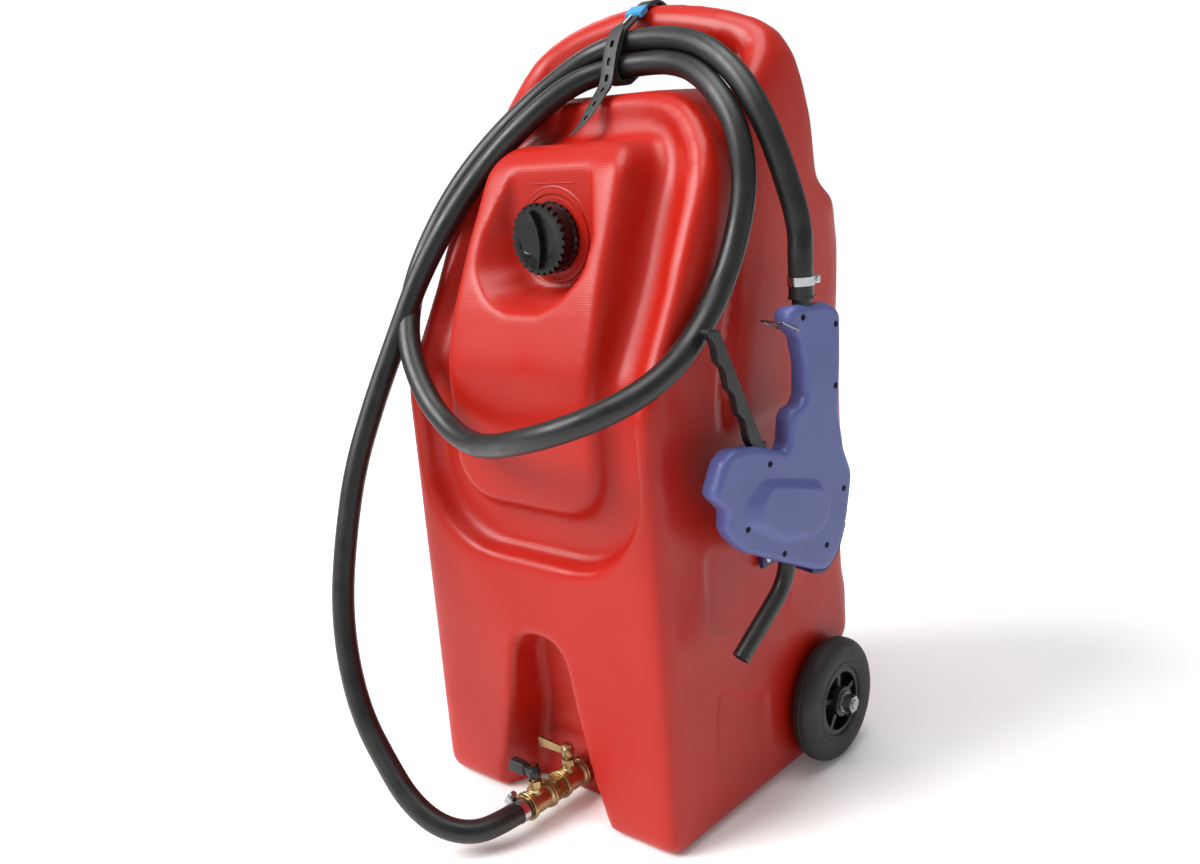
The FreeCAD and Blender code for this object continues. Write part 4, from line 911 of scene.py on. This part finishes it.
# ---------------------------------------------------------------- hose
@dataclass
class FuelHose:
    """Rubber hose from the outlet barb, round the tank and over the handle, to the nozzle."""

    diameter: float = 26.0
    length: float = 3013.0
    start: tuple[float, float, float] = (0.0, -236.0, 29.0)
    straight: float = 36.0

    def route(self) -> list[Vector]:
        """Points that the hose follows, whose Y is first given from the tank's front face.

        Returns:
            The points, from the outlet's barb to the nozzle's inlet.
        """
        free = [
            (-13, -113, 28), (-41, -136, 39), (-78, -145, 64), (-114, -142, 98),
            (-153, -138, 142), (-184, -126, 198), (-203, -110, 262), (-209, -88, 335),
            (-210, -62, 410), (-203, -28, 482), (-188, 4, 552), (-172, 34, 620), (-143, 66, 685),
            (-119, 106, 738), (-71, 130, 784), (-36, 171, 821), (-6, 206, 833), (38, 210, 836),
            (82, 206, 834), (126, 190, 822), (168, 172, 794), (197, 162, 752), (206, 154, 700),
            (202, 134, 640), (199, 100, 592), (199, 54, 557), (203, 10, 538), (197, -36, 522),
            (173, -70, 508), (134, -90, 494), (86, -84, 480), (36, -66, 466), (-16, -46, 456),
            (-68, -30, 461), (-122, -18, 493), (-168, 2, 548), (-192, 38, 604), (-186, 74, 664),
            (-154, 100, 722), (-112, 128, 772), (-72, 167, 816), (-44, 208, 847), (-6, 219, 859),
            (38, 220, 862), (82, 214, 859), (134, 200, 845), (182, 187, 812), (214, 182, 766),
            (232, 188, 710), (246, 190, 658)]
        nozzle = PumpNozzle()
        begin, end = Vector(self.start), nozzle.at(*nozzle.hose_end)
        points = [begin, begin - Y_AXIS * self.straight] + [Vector((x, behind(y), z)) for x, y, z in free]
        return points + [end + Z_AXIS * self.straight, end]

    def build(self, shop: Workshop) -> None:
        """Args:
            shop: the workshop that dresses the pieces and hangs them.
        """
        hose = line("rubber_hose", self.route())
        hose.data.bevel_depth = self.diameter / 2 * MM
        hose.data.bevel_resolution = 8
        hose.data.resolution_u = 8
        hose.data.use_fill_caps = True
        shop.deliver(hose, HOSE_BLACK, replaces=["fuel_hose"])


# ---------------------------------------------------------------- filler
@dataclass
class Filler:
    """Filler neck's ring and the screw cap with its ratchet teeth and curved wing.

    flange and wing reach from their first to their second distance behind the cap's front, and
    scoop_centre is measured from the middle of that front.
    """

    height: float = 660.0
    panel: float = -104.0
    cap_front: float = -132.6
    cap_back: float = -107.8
    cap_inner: float = -127.6
    lobe_circle: float = 39.4
    neck_gap: float = 30.6
    dish_depth: float = 3.4
    dish_radius: int = 33
    scoop_radius: float = 23.0
    scoop_centre: tuple[float, float, float] = (-15.0, -17.4, -3.0)
    flange_reach: tuple[float, float] = (7.4, 0.2)
    wing_reach: tuple[float, float] = (5.0, -4.6)
    wing_half: float = 1.1
    teeth: int = 26

    def turned(self, name: str, profile: Sequence[tuple[float, float]], steps: int = 72) -> bpy.types.Object:
        """Turned piece on the neck's axis from radius and Y pairs."""
        heights = [(radius, -y) for radius, y in profile]
        return lathe(name, heights, Vector((0, 0, self.height)), -Y_AXIS, steps)

    def neck(self) -> bpy.types.Object:
        """Ring moulded round the filler hole, with fine steps, and the neck in its middle.

        Returns:
            The ring with its neck.
        """
        low = self.panel
        ring = self.turned("neck_ring", [
            (25, low + 4), (55, low + 4), (55, low - 0.4), (53.5, low - 1.2), (52, low - 0.4),
            (50.5, low - 0.6), (49.5, low - 3), (46.5, low - 3), (45.5, low - 1.9), (44, low - 1.9),
            (43, low - 2.9), (30, low - 2.9), (30, -124.2), (29.4, -124.5), (25, -124.5)])
        ridge = [Vector((-34, low, 717)), Vector((0, low, 717.5)), Vector((34, low, 717))]
        neck = join([ring, wire("panel_line", ridge, 0.9)])
        smooth(neck, 25)
        return neck

    def tooth_ring(self) -> list[Corner]:
        """Outline of the cap's front flange: teeth that rise slowly and fall steeply.

        Returns:
            The outline's corners, all sharp.
        """
        outline = []
        for index in range(self.teeth):
            start = 2 * math.pi * index / self.teeth
            for share, radius in ((0.0, 35.2), (0.3, 35.4), (0.42, 38.9), (0.9, 38.6)):
                angle = start + share * 2 * math.pi / self.teeth
                outline.append((radius * math.cos(angle), self.height + radius * math.sin(angle), 0.0))
        return outline

    def cap(self) -> bpy.types.Object:
        """Cap with a lobed skirt, a toothed flange, a sunk face and a wing.

        Returns:
            The cap.
        """
        front, back = self.cap_front, self.cap_back
        skirt = self.turned("filler_cap_skirt", [
            (self.neck_gap, back), (37.4, back), (38.6, back - 1), (38.6, back - 4), (36.6, back - 6),
            (36.0, front + 6), (36.0, front + 2), (0, front + 2), (0, self.cap_inner),
            (self.neck_gap, self.cap_inner)])
        lobes = []
        for index in range(self.teeth):
            angle = 2 * math.pi * (index + 0.3) / self.teeth
            spot = Vector((self.lobe_circle * math.cos(angle), back + 1,
                           self.height + self.lobe_circle * math.sin(angle)))
            lobes.append(lathe("lobe", [(0, 0), (2.6, 0), (2.6, 13), (0, 13)], spot, -Y_AXIS, 12))
        combine(skirt, join(lobes), Join.CUT)
        near, far = self.flange_reach
        flange = slab("flange", self.tooth_ring(), FACE, -(front + near), -(front + far))
        rim = self.dish_radius
        dish = [(radius, front + self.dish_depth * (1 - (radius / rim) ** 2))
                for radius in range(0, rim + 1, 3)]
        combine(flange, self.turned("dish", dish + [(rim, front - 3), (0, front - 3)]), Join.CUT)
        ball = [(self.scoop_radius * math.sin(a), -self.scoop_radius * math.cos(a))
                for a in (math.pi * i / 24 for i in range(25))]
        x, y, z = self.scoop_centre
        place = Vector((x, front + y, self.height + z))
        combine(flange, lathe("scoop", ball, place, Z_AXIS, 40), Join.CUT)
        cap = join([skirt, flange])
        ridge = [(-7, 31), (0, 22), (4.6, 10), (5.8, -3), (4.6, -16), (0.5, -31)]
        outline = [(x - self.wing_half, self.height + z, 4.0) for x, z in ridge]
        outline += [(x + self.wing_half, self.height + z, 4.0) for x, z in reversed(ridge)]
        near, far = self.wing_reach
        wing = slab("wing", outline, FACE, -(front + near), -(front + far))
        bevel(wing, 0.8)
        cap = join([cap, wing])
        smooth(cap, 35)
        return cap

    def build(self, shop: Workshop) -> None:
        """Model both and hang them on the frame.

        Args:
            shop: the workshop that dresses the pieces and hangs them.
        """
        shop.deliver(self.neck(), TANK_RED, replaces=["filler_neck"])
        cap = self.cap()
        cap.name = "screw_cap"
        shop.deliver(cap, CAP_BLACK, "cap", ["filler_cap"])


# ---------------------------------------------------------------- valves
@dataclass
class OutletValves:
    """Two quarter turn valves in a row, the first with a brass blade, the second with a plastic grip."""

    height: float = 29.0
    first: float = -159.0
    second: float = -216.0
    lever_low: float = 58.0
    blade_half: float = 1.6
    throat_half: float = 4.2
    grip_half: float = 5.4

    def shell(self, name: str, centre: float, back: float, front: float) -> bpy.types.Object:
        """Valve body turned with double beads at its ends and a bonnet for the stem.

        Args:
            name: name of the new piece.
            centre: Y of the stem in millimetres.
            back: length from the stem to the end at the tank.
            front: length from the stem to the other end.

        Returns:
            The valve body.
        """
        low, high = -front, back
        profile = [
            (10.6, low), (16.4, low), (17, low + 0.6), (17, low + 2.6), (16.3, low + 3.2),
            (15.6, low + 3.6), (16.4, low + 4.2), (16.4, low + 6.2), (15.2, low + 7.0), (14.2, low + 8.6),
            (14.6, -3), (14.6, 3), (14.2, high - 8.6), (15.2, high - 7.0), (16.4, high - 6.2),
            (16.4, high - 4.2), (15.6, high - 3.6), (16.3, high - 3.2), (17, high - 2.6), (17, high - 0.6),
            (16.4, high), (10.6, high), (10.6, high - 6.4), (7, high - 6.4), (7, 11.4), (11.7, 11.4),
            (11.7, -11.4), (7, -11.4), (7, low + 6.4), (10.6, low + 6.4)]
        body = lathe(name, profile, Vector((0, centre, self.height)), Y_AXIS, 64)
        seat = lathe("bonnet", [(0, 12), (11, 12), (10.2, 14.6), (8.2, 16), (7.6, 17.4), (7.6, 18), (0, 18)],
                     Vector((0, centre, self.height)), Z_AXIS, 48)
        combine(body, seat, Join.ADD)
        combine(body, lathe("stem_hole", [(0, 5), (4.15, 5), (4.15, 30), (0, 30)],
                            Vector((0, centre, self.height)), Z_AXIS, 32), Join.CUT)
        smooth(body, 30)
        return body

    def hub(self, name: str, centre: float) -> bpy.types.Object:
        """Barrel of a lever round the stem."""
        profile = [(4.05, 0), (6.4, 0), (7.7, 2.4), (8, 6.5), (7.2, 10.4), (6, 12), (4.05, 12)]
        return lathe(name, profile, Vector((0, centre, self.lever_low)), Z_AXIS, 40)

    def blade_lever(self) -> bpy.types.Object:
        """Brass lever: a barrel and a flat blade that rises towards its tip.

        Returns:
            The lever.
        """
        lever = self.hub("brass_lever", self.first)
        low = self.lever_low
        side = [(-5.5, low + 1, 1), (-5.5, low + 10, 2), (-46.6, low + 12.4, 1.5), (-47, low + 0.2, 1.5)]
        blade = slab("blade", side, FACE, -self.first - self.blade_half, -self.first + self.blade_half)
        bevel(blade, 0.5, 2)
        lever = join([lever, blade])
        smooth(lever, 35)
        return lever

    def grip_lever(self) -> bpy.types.Object:
        """Plastic lever: a barrel, a neck and a block grip.

        Returns:
            The lever.
        """
        lever = self.hub("grip_lever", self.second)
        low = self.lever_low
        throat = [(-4.5, low + 2, 1), (-4.5, low + 11, 2), (-16, low + 13.2, 2), (-16, low + 3, 2)]
        neck = slab("neck", throat, FACE, -self.second - self.throat_half, -self.second + self.throat_half)
        side = [(-12, low - 0.5, 2.5), (-12, low + 13.6, 2.5), (-35.6, low + 14.6, 2.5),
                (-36, low + 0.2, 2.5)]
        grip = slab("grip", side, FACE, -self.second - self.grip_half, -self.second + self.grip_half)
        bevel(grip, 1.2, 3)
        lever = join([lever, neck, grip])
        smooth(lever, 35)
        return lever

    def build(self, shop: Workshop) -> None:
        """Model the bodies and levers and hang them on the frame.

        Args:
            shop: the workshop that dresses the pieces and hangs them.
        """
        first = self.shell("first_valve_casting", self.first, 19, 19)
        shop.deliver(first, BRASS, replaces=["valve1_body"])
        second = self.shell("second_valve_casting", self.second, 20, 18)
        shop.deliver(second, BRASS, replaces=["valve2_body"])
        shop.deliver(self.blade_lever(), BRASS, "valve1_handle", ["valve1_lever"])
        shop.deliver(self.grip_lever(), PLASTIC_BLACK, "valve2_handle", ["valve2_lever"])


# ---------------------------------------------------------------- strap
@dataclass
class HoseStrap:
    """Rubber strap round the handle's bar and both runs of hose, with a tapered, holed tail.

    rounds are the distance behind the front face, the height and the radius of what the belt goes round.
    tail, taper and sway list the tail's middle line, its share of the full width and its shift in X.
    """

    middle: float = 10.0
    width: float = 18.0
    gap: float = 1.0
    thick: float = 3.0
    rounds: tuple[Corner, ...] = ((270, 879, 24), (206.4, 833.8, 15.2), (219.2, 860.0, 13.4))
    tail: tuple[tuple[float, float], ...] = ((212, 880), (201, 867), (192, 850), (186, 830), (181, 815),
                                             (169, 803), (156, 788), (143, 774), (128, 763))
    taper: tuple[float, ...] = (1, 1, 1, 1, 1, 1, 0.88, 0.6, 0.16)
    sway: tuple[float, ...] = (0, 0, 0, 0, 0, -1.5, -4, -8, -15)
    thin_from: int = 7
    thin_share: float = 0.7
    belt_step: float = 0.16
    long_hole: tuple[float, float] = (4.4, 2.5)
    short_hole: tuple[float, float] = (3.4, 1.9)

    def belt(self, extra: float) -> list[Corner]:
        """Outline of a tight belt at a distance from the bar and the hose runs.

        Args:
            extra: the distance in millimetres.

        Returns:
            The outline's corners, all sharp.
        """
        circles = [(Vector((behind(y), z)), radius + extra) for y, z, radius in self.rounds]
        centre = sum((spot for spot, _ in circles), Vector((0, 0))) / len(circles)
        circles.sort(key=lambda c: math.atan2(c[0].y - centre.y, c[0].x - centre.x))
        normals = []
        for (spot, radius), (ahead, next_radius) in zip(circles, circles[1:] + circles[:1]):
            run = ahead - spot
            lean = math.asin((radius - next_radius) / run.length)
            normals.append(math.atan2(run.y, run.x) - math.pi / 2 + lean)
        outline = []
        for index, (spot, radius) in enumerate(circles):
            start = normals[index - 1]
            sweep = (normals[index] - start) % (2 * math.pi)
            steps = max(2, int(sweep / self.belt_step))
            for step in range(steps + 1):
                angle = start + sweep * step / steps
                outline.append((spot.x + radius * math.cos(angle), spot.y + radius * math.sin(angle), 0.0))
        return outline

    def loop(self) -> bpy.types.Object:
        """Closed belt round the bar and the hose runs.

        Returns:
            The belt.
        """
        low, high = self.middle - self.width / 2, self.middle + self.width / 2
        strap = slab("rubber_strap", self.belt(self.gap + self.thick), SIDE, low, high)
        combine(strap, slab("belt_room", self.belt(self.gap), SIDE, low - 5, high + 5), Join.CUT)
        return strap

    def tongue(self, spots: Sequence[Vector]) -> bpy.types.Object:
        """Tail that narrows, thins and sways towards its tip.

        Args:
            spots: points of its middle line.

        Returns:
            The tail, with soft bends and square long edges.
        """
        rings = []
        for index, spot in enumerate(spots):
            run = (spots[min(index + 1, len(spots) - 1)] - spots[max(index - 1, 0)]).normalized()
            inward = run.cross(X_AXIS)
            half = self.width / 2 * self.taper[index]
            thick = self.thick * (1.0 if index < self.thin_from else self.thin_share)
            rings.append([spot + X_AXIS * (self.middle + side) + inward * depth
                          for side, depth in ((-half, 0), (half, 0), (half, thick), (-half, thick))])
        tail = loft("tail", rings)
        change = tail.modifiers.new("bend", "SUBSURF")
        change.subdivision_type = "CATMULL_CLARK"
        change.levels = change.render_levels = 2
        crease = tail.data.attributes.new("crease_edge", "FLOAT", "EDGE")
        for edge in tail.data.edges:
            first, second = (tail.data.vertices[i].co for i in edge.vertices)
            along = abs((first - second).x) < 2.2 * MM and (first - second).length > 6 * MM
            crease.data[edge.index].value = 1.0 if along else 0.0
        finish_modifiers(tail)
        return tail

    def holes(self, spots: Sequence[Vector]) -> list[bpy.types.Object]:
        """Row of oval holes, smaller where the tail narrows.

        Args:
            spots: points of the tail's middle line.

        Returns:
            The holes, as tools that cut them.
        """
        holes = []
        for index in range(2, 8):
            spot = (spots[index] + spots[index - 1]) / 2 + X_AXIS * self.middle
            run = (spots[index] - spots[index - 1]).normalized()
            long, short = self.long_hole if index < 5 else self.short_hole
            sides = ((-short, -long), (short, -long), (short, long), (-short, long))
            oval = [(u, v, short) for u, v in sides]
            holes.append(slab("hole", oval, Matrix.Translation(spot * MM) @ placed(X_AXIS, run), -9, 9))
        return holes

    def build(self, shop: Workshop) -> None:
        """Model the strap and hang it on the frame.

        Args:
            shop: the workshop that dresses the pieces and hangs them.
        """
        strap = self.loop()
        spots = [Vector((sway, behind(y), z)) for sway, (y, z) in zip(self.sway, self.tail)]
        tail = self.tongue(spots)
        combine(tail, join(self.holes(spots)), Join.CUT)
        strap = join([strap, tail])
        bevel(strap, 0.5, 2, 50)
        shop.deliver(strap, STRAP_BLACK, replaces=["hose_strap"])


# ---------------------------------------------------------------- nozzle
@dataclass
class PumpNozzle:
    """Hand pump nozzle: a clamshell housing with a finger lever.

    Its own u runs along its width, v upwards and depth out of its outer face.  edges list a depth and how
    far the housing's outline is drawn in there.
    """

    yaw: float = 12.0
    foot: tuple[float, float, float] = (264.0, -7.0, 288.0)
    thick: float = 28.0
    split: float = 12.0
    wall: float = 2.5
    pad_height: float = 6.0
    pad_foot: float = -2.4
    parting_gap: float = 0.15
    slot_clear: float = 0.6
    cell: tuple[float, int] = (1.5, 6)
    edges: tuple[tuple[float, float], ...] = (
        (-28, 8), (-26.6, 4.6), (-23.5, 2.2), (-18, 0.8), (-12, 0), (-7, 0), (-3.6, 1.0), (-1.2, 2.8),
        (0, 6.0))
    pivot: tuple[float, float] = (-74.0, 139.0)
    lever_length: float = 163.0
    lever_lean: float = 22.3
    lever_width: float = 12.0
    lever_thick: float = 15.0
    lever_arm: float = 42.0
    lever_grooves: int = 4
    lever_cell: tuple[float, int] = (1.1, 4)
    pin_bore: float = 3.1
    seat_bore: float = 3.5
    latch_bore: float = 1.6
    spout_bore: float = 10.1
    inlet_bore: float = 10.3
    latch_pivot: tuple[float, float] = (-29.0, 270.0)
    spout_start: tuple[float, float] = (-38.0, 42.0)
    spout_bend: tuple[float, float] = (-46.0, -2.0)
    inlet_seat: tuple[float, float] = (-6.0, 286.0)
    hose_end: tuple[float, float] = (-6.0, 300.0)

    housing: tuple[Corner, ...] = (
        (-30, 294, 12), (-36, 290, 5), (-39, 280, 5), (-34, 270, 8), (-22, 258, 10), (-16, 229, 30),
        (-18, 198, 10), (-24, 191, 5), (-36, 188, 5), (-42, 178, 10), (-45, 153, 10), (-50, 147, 5),
        (-87, 160, 20), (-122, 164, 20), (-136, 153, 15), (-149, 126, 8), (-149, 118, 4), (-131, 99, 10),
        (-134, 82, 10), (-127, 68, 15), (-112, 53, 20), (-59, 27, 60), (-9, 4, 20), (8, 0, 15),
        (27, 19, 30), (41, 52, 60), (51, 101, 30), (39, 131, 40), (33, 174, 60), (37, 225, 80),
        (39, 279, 15), (21, 291, 15))
    pad: tuple[Corner, ...] = (
        (-91, 129, 18), (-120, 107, 16), (-124, 86, 14), (-66, 49, 26), (-8, 41, 16), (16, 66, 24),
        (0, 107, 18))
    pad_top: tuple[Corner, ...] = (
        (-74, 116, 14), (-92, 99, 12), (-97, 84, 12), (-58, 58, 20), (-12, 51, 14), (7, 68, 20),
        (-5, 97, 14))
    screws: tuple[tuple[float, float], ...] = (
        (-19, 281), (29, 267), (26, 202), (34, 87), (-109, 78), (5, 30), (-59, 38))

    def axes(self) -> tuple[Vector, Vector]:
        """Direction along the nozzle's own width and out of its outer face."""
        yaw = math.radians(self.yaw)
        return Vector((math.sin(yaw), math.cos(yaw), 0)), Vector((math.cos(yaw), -math.sin(yaw), 0))

    def at(self, u: float, v: float, depth: float | None = None) -> Vector:
        """Point in space from the nozzle's own coordinates.

        Args:
            u: along its width.
            v: upwards.
            depth: out of its outer face, or the middle plane where it isn't given.

        Returns:
            The point in millimetres.
        """
        along, out = self.axes()
        depth = -self.thick / 2 if depth is None else depth
        return Vector(self.foot) + along * u + Z_AXIS * v + out * depth

    def plane(self) -> Matrix:
        """Placement of the nozzle's outlines."""
        return placed(self.axes()[0], Z_AXIS, Vector(self.foot))

    def pin(self, radius: float, spot: tuple[float, float], start: float, end: float) -> bpy.types.Object:
        """Round bar across the nozzle between two depths."""
        return lathe("pin", [(0, 0), (radius, 0), (radius, end - start), (0, end - start)],
                     self.at(spot[0], spot[1], start), self.axes()[1], 28)

    def shells(self) -> tuple[bpy.types.Object, bpy.types.Object]:
        """Both halves of the housing: soft edges, a facetted pad, screw seats and ways in and out.

        Returns:
            The outer and the inner half.
        """
        plane, thick = self.plane(), self.thick
        layers = [(depth, rounded(grown(self.housing, -inset))) for depth, inset in self.edges]
        whole = loft("nozzle_housing", [[self.at(point.x, point.y, depth) for point in outline]
                                        for depth, outline in layers])
        combine(whole, slab("pad", self.pad, plane, self.pad_foot, self.pad_height, self.pad_top), Join.ADD)
        skin(whole, *self.cell)
        hollow = grown(self.housing, -self.wall - 1)
        combine(whole, slab("room", hollow, plane, -thick + self.wall, -self.wall), Join.CUT)
        u, v = self.pivot
        half = self.lever_width / 2 + self.slot_clear
        slot = [(u - 22, v + 7, 0), (u + 22, v + 7, 0), (u + 22, v + 60, 0), (u - 22, v + 60, 0)]
        combine(whole, slab("lever_slot", slot, plane, -thick / 2 - half, -thick / 2 + half), Join.CUT)
        start, bend = self.at(*self.spout_start), self.at(*self.spout_bend)
        reach, wide, inlet = (bend - start).length, self.spout_bore, self.inlet_bore
        spout_way = [(0, 0), (wide, 0), (wide, reach), (0, reach)]
        inlet_way = [(0, 0), (inlet, 0), (inlet, 14), (0, 14)]
        bores = [
            lathe("spout_way", spout_way, start, bend - start, 32),
            lathe("inlet_way", inlet_way, self.at(*self.inlet_seat), Z_AXIS, 32),
            self.pin(self.latch_bore, self.latch_pivot, -thick - 2, 6),
            self.pin(self.seat_bore, self.pivot, -self.wall - 3, 8)]
        bores += [self.pin(self.seat_bore, spot, -self.split, 8) for spot in self.screws]
        combine(whole, join(bores), Join.CUT)
        halves = []
        parting = (("housing_half_out", -self.split + self.parting_gap, 12),
                   ("housing_half_in", -40, -self.split))
        for name, low, high in parting:
            half_piece = whole.copy()
            half_piece.data = whole.data.copy()
            half_piece.name = name
            bpy.context.scene.collection.objects.link(half_piece)
            frame = [(-200, -40, 0), (100, -40, 0), (100, 340, 0), (-200, 340, 0)]
            combine(half_piece, slab("keep", frame, plane, low, high), Join.KEEP)
            smooth(half_piece, 40)
            halves.append(half_piece)
        bpy.data.objects.remove(whole)
        return halves[0], halves[1]

    def lever(self) -> bpy.types.Object:
        """Finger lever with four scallops above the pin and a short arm below it.

        Returns:
            The lever.
        """
        u, v = self.pivot
        lean = math.radians(self.lever_lean)
        along = Vector((-math.sin(lean), math.cos(lean)))
        across = Vector((-math.cos(lean), -math.sin(lean)))
        half, middle = self.lever_thick / 2, -self.thick / 2

        def spot(a: float, c: float, radius: float) -> Corner:
            """Corner at a along and c in front of the lever's middle line."""
            point = Vector((u, v)) + along * a + across * c
            return point.x, point.y, radius

        tip = self.lever_length
        corners = [spot(14, -half, 20), spot(tip - 8, -half, 4), spot(tip, half, 4)]
        span = (tip - 42) / self.lever_grooves
        for index in range(self.lever_grooves):
            top = tip - 3 - span * index
            corners += [spot(top - 4, half, 3), spot(top - span / 2, half - 4.5, 16)]
        corners += [spot(34, half, 4), spot(10, half - 1, 10)]
        width = self.lever_width / 2
        plane = self.plane()
        neck = [(u - 7, v, 0), (u - 13, v + 22, 0), (u + 4, v + 22, 0), (u + 7, v, 0)]
        arm = [(u - 4, v, 0), (u + 5, v, 0), (u + 5, v - self.lever_arm, 0), (u - 3, v - self.lever_arm, 0)]
        lever = join([
            slab("finger_lever", corners, plane, middle - width, middle + width),
            self.pin(8, self.pivot, middle - width, middle + width),
            slab("neck", neck, plane, middle - width, middle + width),
            slab("arm", arm, plane, middle - 4, middle + 4),
            self.pin(5, (u + 1, v - self.lever_arm), middle - 4, middle + 4)])
        skin(lever, *self.lever_cell)
        combine(lever, self.pin(self.pin_bore, self.pivot, -self.thick, 0), Join.CUT)
        smooth(lever, 40)
        return lever

    def build(self, shop: Workshop) -> None:
        """Model the housing and the lever and hang them on the frame.

        Args:
            shop: the workshop that dresses the pieces and hangs them.
        """
        outer, inner = self.shells()
        shop.deliver(outer, NOZZLE_VIOLET, replaces=["housing_outer"])
        shop.deliver(inner, NOZZLE_VIOLET, replaces=["housing_inner"])
        shop.deliver(self.lever(), PLASTIC_BLACK, "lever", ["pump_lever"])
        dome = [(0, 0), (3.3, 0), (3.3, 1.1), (2.4, 1.5), (1.2, 1.5), (0.8, 0.7), (0, 0.6)]
        head = lathe("pin_head", dome, self.at(*self.pivot, -self.wall), self.axes()[1], 24)
        smooth(head, 30)
        shop.deliver(head, DARK_STEEL_AND_HOLE_SHADE)


# ---------------------------------------------------------------- wheels
@dataclass
class Tyres:
    """Solid rubber tyres with rounded shoulders, sidewall steps and a fine tread line."""

    radius: float = 76.0
    rim: float = 42.0
    centre: tuple[float, float, float] = (204.0, 100.0, 76.0)

    def build(self, shop: Workshop) -> None:
        """Model both tyres and hang them on the wheels.

        Args:
            shop: the workshop that dresses the pieces and hangs them.
        """
        wall = [(self.rim, 12), (42.6, 13.6), (44.4, 14.8), (46.4, 15.6), (48.6, 15.6), (49.4, 14.9),
                (53, 15.6), (58, 16), (63, 15.8), (67.6, 14.6), (71.4, 12.2), (74.2, 8.8), (75.6, 5),
                (self.radius, 1.6), (75.2, 0.7)]
        profile = wall + [(r, -h) for r, h in reversed(wall)]
        for side, name in ((1, "right"), (-1, "left")):
            x, y, z = self.centre
            tyre = lathe(f"rubber_tyre_{name}", profile, Vector((side * x, y, z)), X_AXIS, 96)
            smooth(tyre, 28)
            shop.deliver(tyre, TYRE_BLACK, f"wheel_{name}", [f"tyre_{name}"])


# ---------------------------------------------------------------- stage
SKY_LIGHT = 0.31
FLOOR_GLOW = 0.06
CAMERA_SPOT = (899.9, -1054.8, 769.1)
CAMERA_RIGHT = (0.7532, 0.6532, -0.0774)
CAMERA_BACK = (0.6494, -0.7197, 0.2457)
LENS = 35.695
SENSOR = 36.0
LAMP_TARGET = Vector((0, 0, 0.45))


class LampKind(Enum):
    """Kinds of lamp in the studio."""

    DAYLIGHT = "SUN"
    SOFTBOX = "AREA"


@dataclass(frozen=True)
class Lamp:
    """Lamp aimed at the tank's middle.

    spot is in metres.  size is the daylight's width in degrees or the softbox's width in metres.
    """

    name: str
    kind: LampKind
    spot: tuple[float, float, float]
    size: float
    power: float

    def hang(self) -> None:
        """Put the lamp up and aim it."""
        data = bpy.data.lights.new(self.name, self.kind.value)
        data.energy = self.power
        if self.kind is LampKind.DAYLIGHT:
            data.angle = math.radians(self.size)
        else:
            data.size = self.size
        lamp = bpy.data.objects.new(self.name, data)
        lamp.location = self.spot
        lamp.rotation_euler = (LAMP_TARGET - Vector(self.spot)).to_track_quat("-Z", "Y").to_euler()
        bpy.context.scene.collection.objects.link(lamp)


LAMPS = (Lamp("daylight", LampKind.DAYLIGHT, (-1.2, -1.95, 2.45), 34.0, 3.3),
         Lamp("softbox_left", LampKind.SOFTBOX, (-2.0, -1.4, 1.8), 1.0, 12.0),
         Lamp("softbox_top", LampKind.SOFTBOX, (0.3, -0.1, 2.9), 1.6, 40.0),
         Lamp("softbox_back", LampKind.SOFTBOX, (-1.9, 1.1, 1.9), 1.0, 5.0))


def lay_floor() -> None:
    """Pale floor with a faint glow, so that its far edge melts into the surround."""
    bpy.ops.object.select_all(action="DESELECT")
    bpy.ops.mesh.primitive_plane_add(size=60)
    floor = bpy.context.object
    floor.name = "floor"
    paint = bpy.data.materials.new("pale_floor")
    paint.use_nodes = True
    shader = paint.node_tree.nodes["Principled BSDF"]
    shader.inputs["Base Color"].default_value = linear(WHITE)
    shader.inputs["Roughness"].default_value = 0.9
    shader.inputs["Emission Color"].default_value = linear(WHITE)
    shader.inputs["Emission Strength"].default_value = FLOOR_GLOW
    floor.data.materials.append(paint)


def set_surround() -> None:
    """White surround that lights the tank only softly."""
    world = bpy.data.worlds.new("studio")
    world.use_nodes = True
    tree = world.node_tree
    background = tree.nodes["Background"]
    background.inputs["Color"].default_value = linear(WHITE)
    ray = add_node(tree, "ShaderNodeLightPath")
    strength = add_node(tree, "ShaderNodeMapRange", {"Value": ray.outputs["Is Camera Ray"]},
                        {"To Min": SKY_LIGHT, "To Max": 1.0})
    tree.links.new(strength.outputs["Result"], background.inputs["Strength"])
    bpy.context.scene.world = world


def set_camera() -> None:
    """Camera at the height of the tank's shoulder, before its right front corner."""
    data = bpy.data.cameras.new("camera")
    data.sensor_width = SENSOR
    data.lens = LENS
    data.clip_end = 100
    camera = bpy.data.objects.new("camera", data)
    right = Vector(CAMERA_RIGHT).normalized()
    back = Vector(CAMERA_BACK)
    back = (back - right * back.dot(right)).normalized()
    turn = Matrix((right, back.cross(right), back)).transposed().to_4x4()
    camera.matrix_world = Matrix.Translation(Vector(CAMERA_SPOT) * MM) @ turn
    bpy.context.scene.collection.objects.link(camera)
    bpy.context.scene.camera = camera


def main() -> None:
    """Build every sub-assembly in order around the frame."""
    logging.basicConfig(level=logging.INFO, format="%(message)s")
    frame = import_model()
    bpy.context.scene.view_settings.view_transform = "Standard"
    set_camera()
    lay_floor()
    set_surround()
    for lamp in LAMPS:
        lamp.hang()
    shop = Workshop(frame)
    shop.dress_frame()
    assemblies = (FuelHose(), MouldedTank(), Filler(), OutletValves(), HoseStrap(), PumpNozzle(), Tyres())
    for assembly in assemblies:
        assembly.build(shop)


if __name__ == "__main__":
    main()
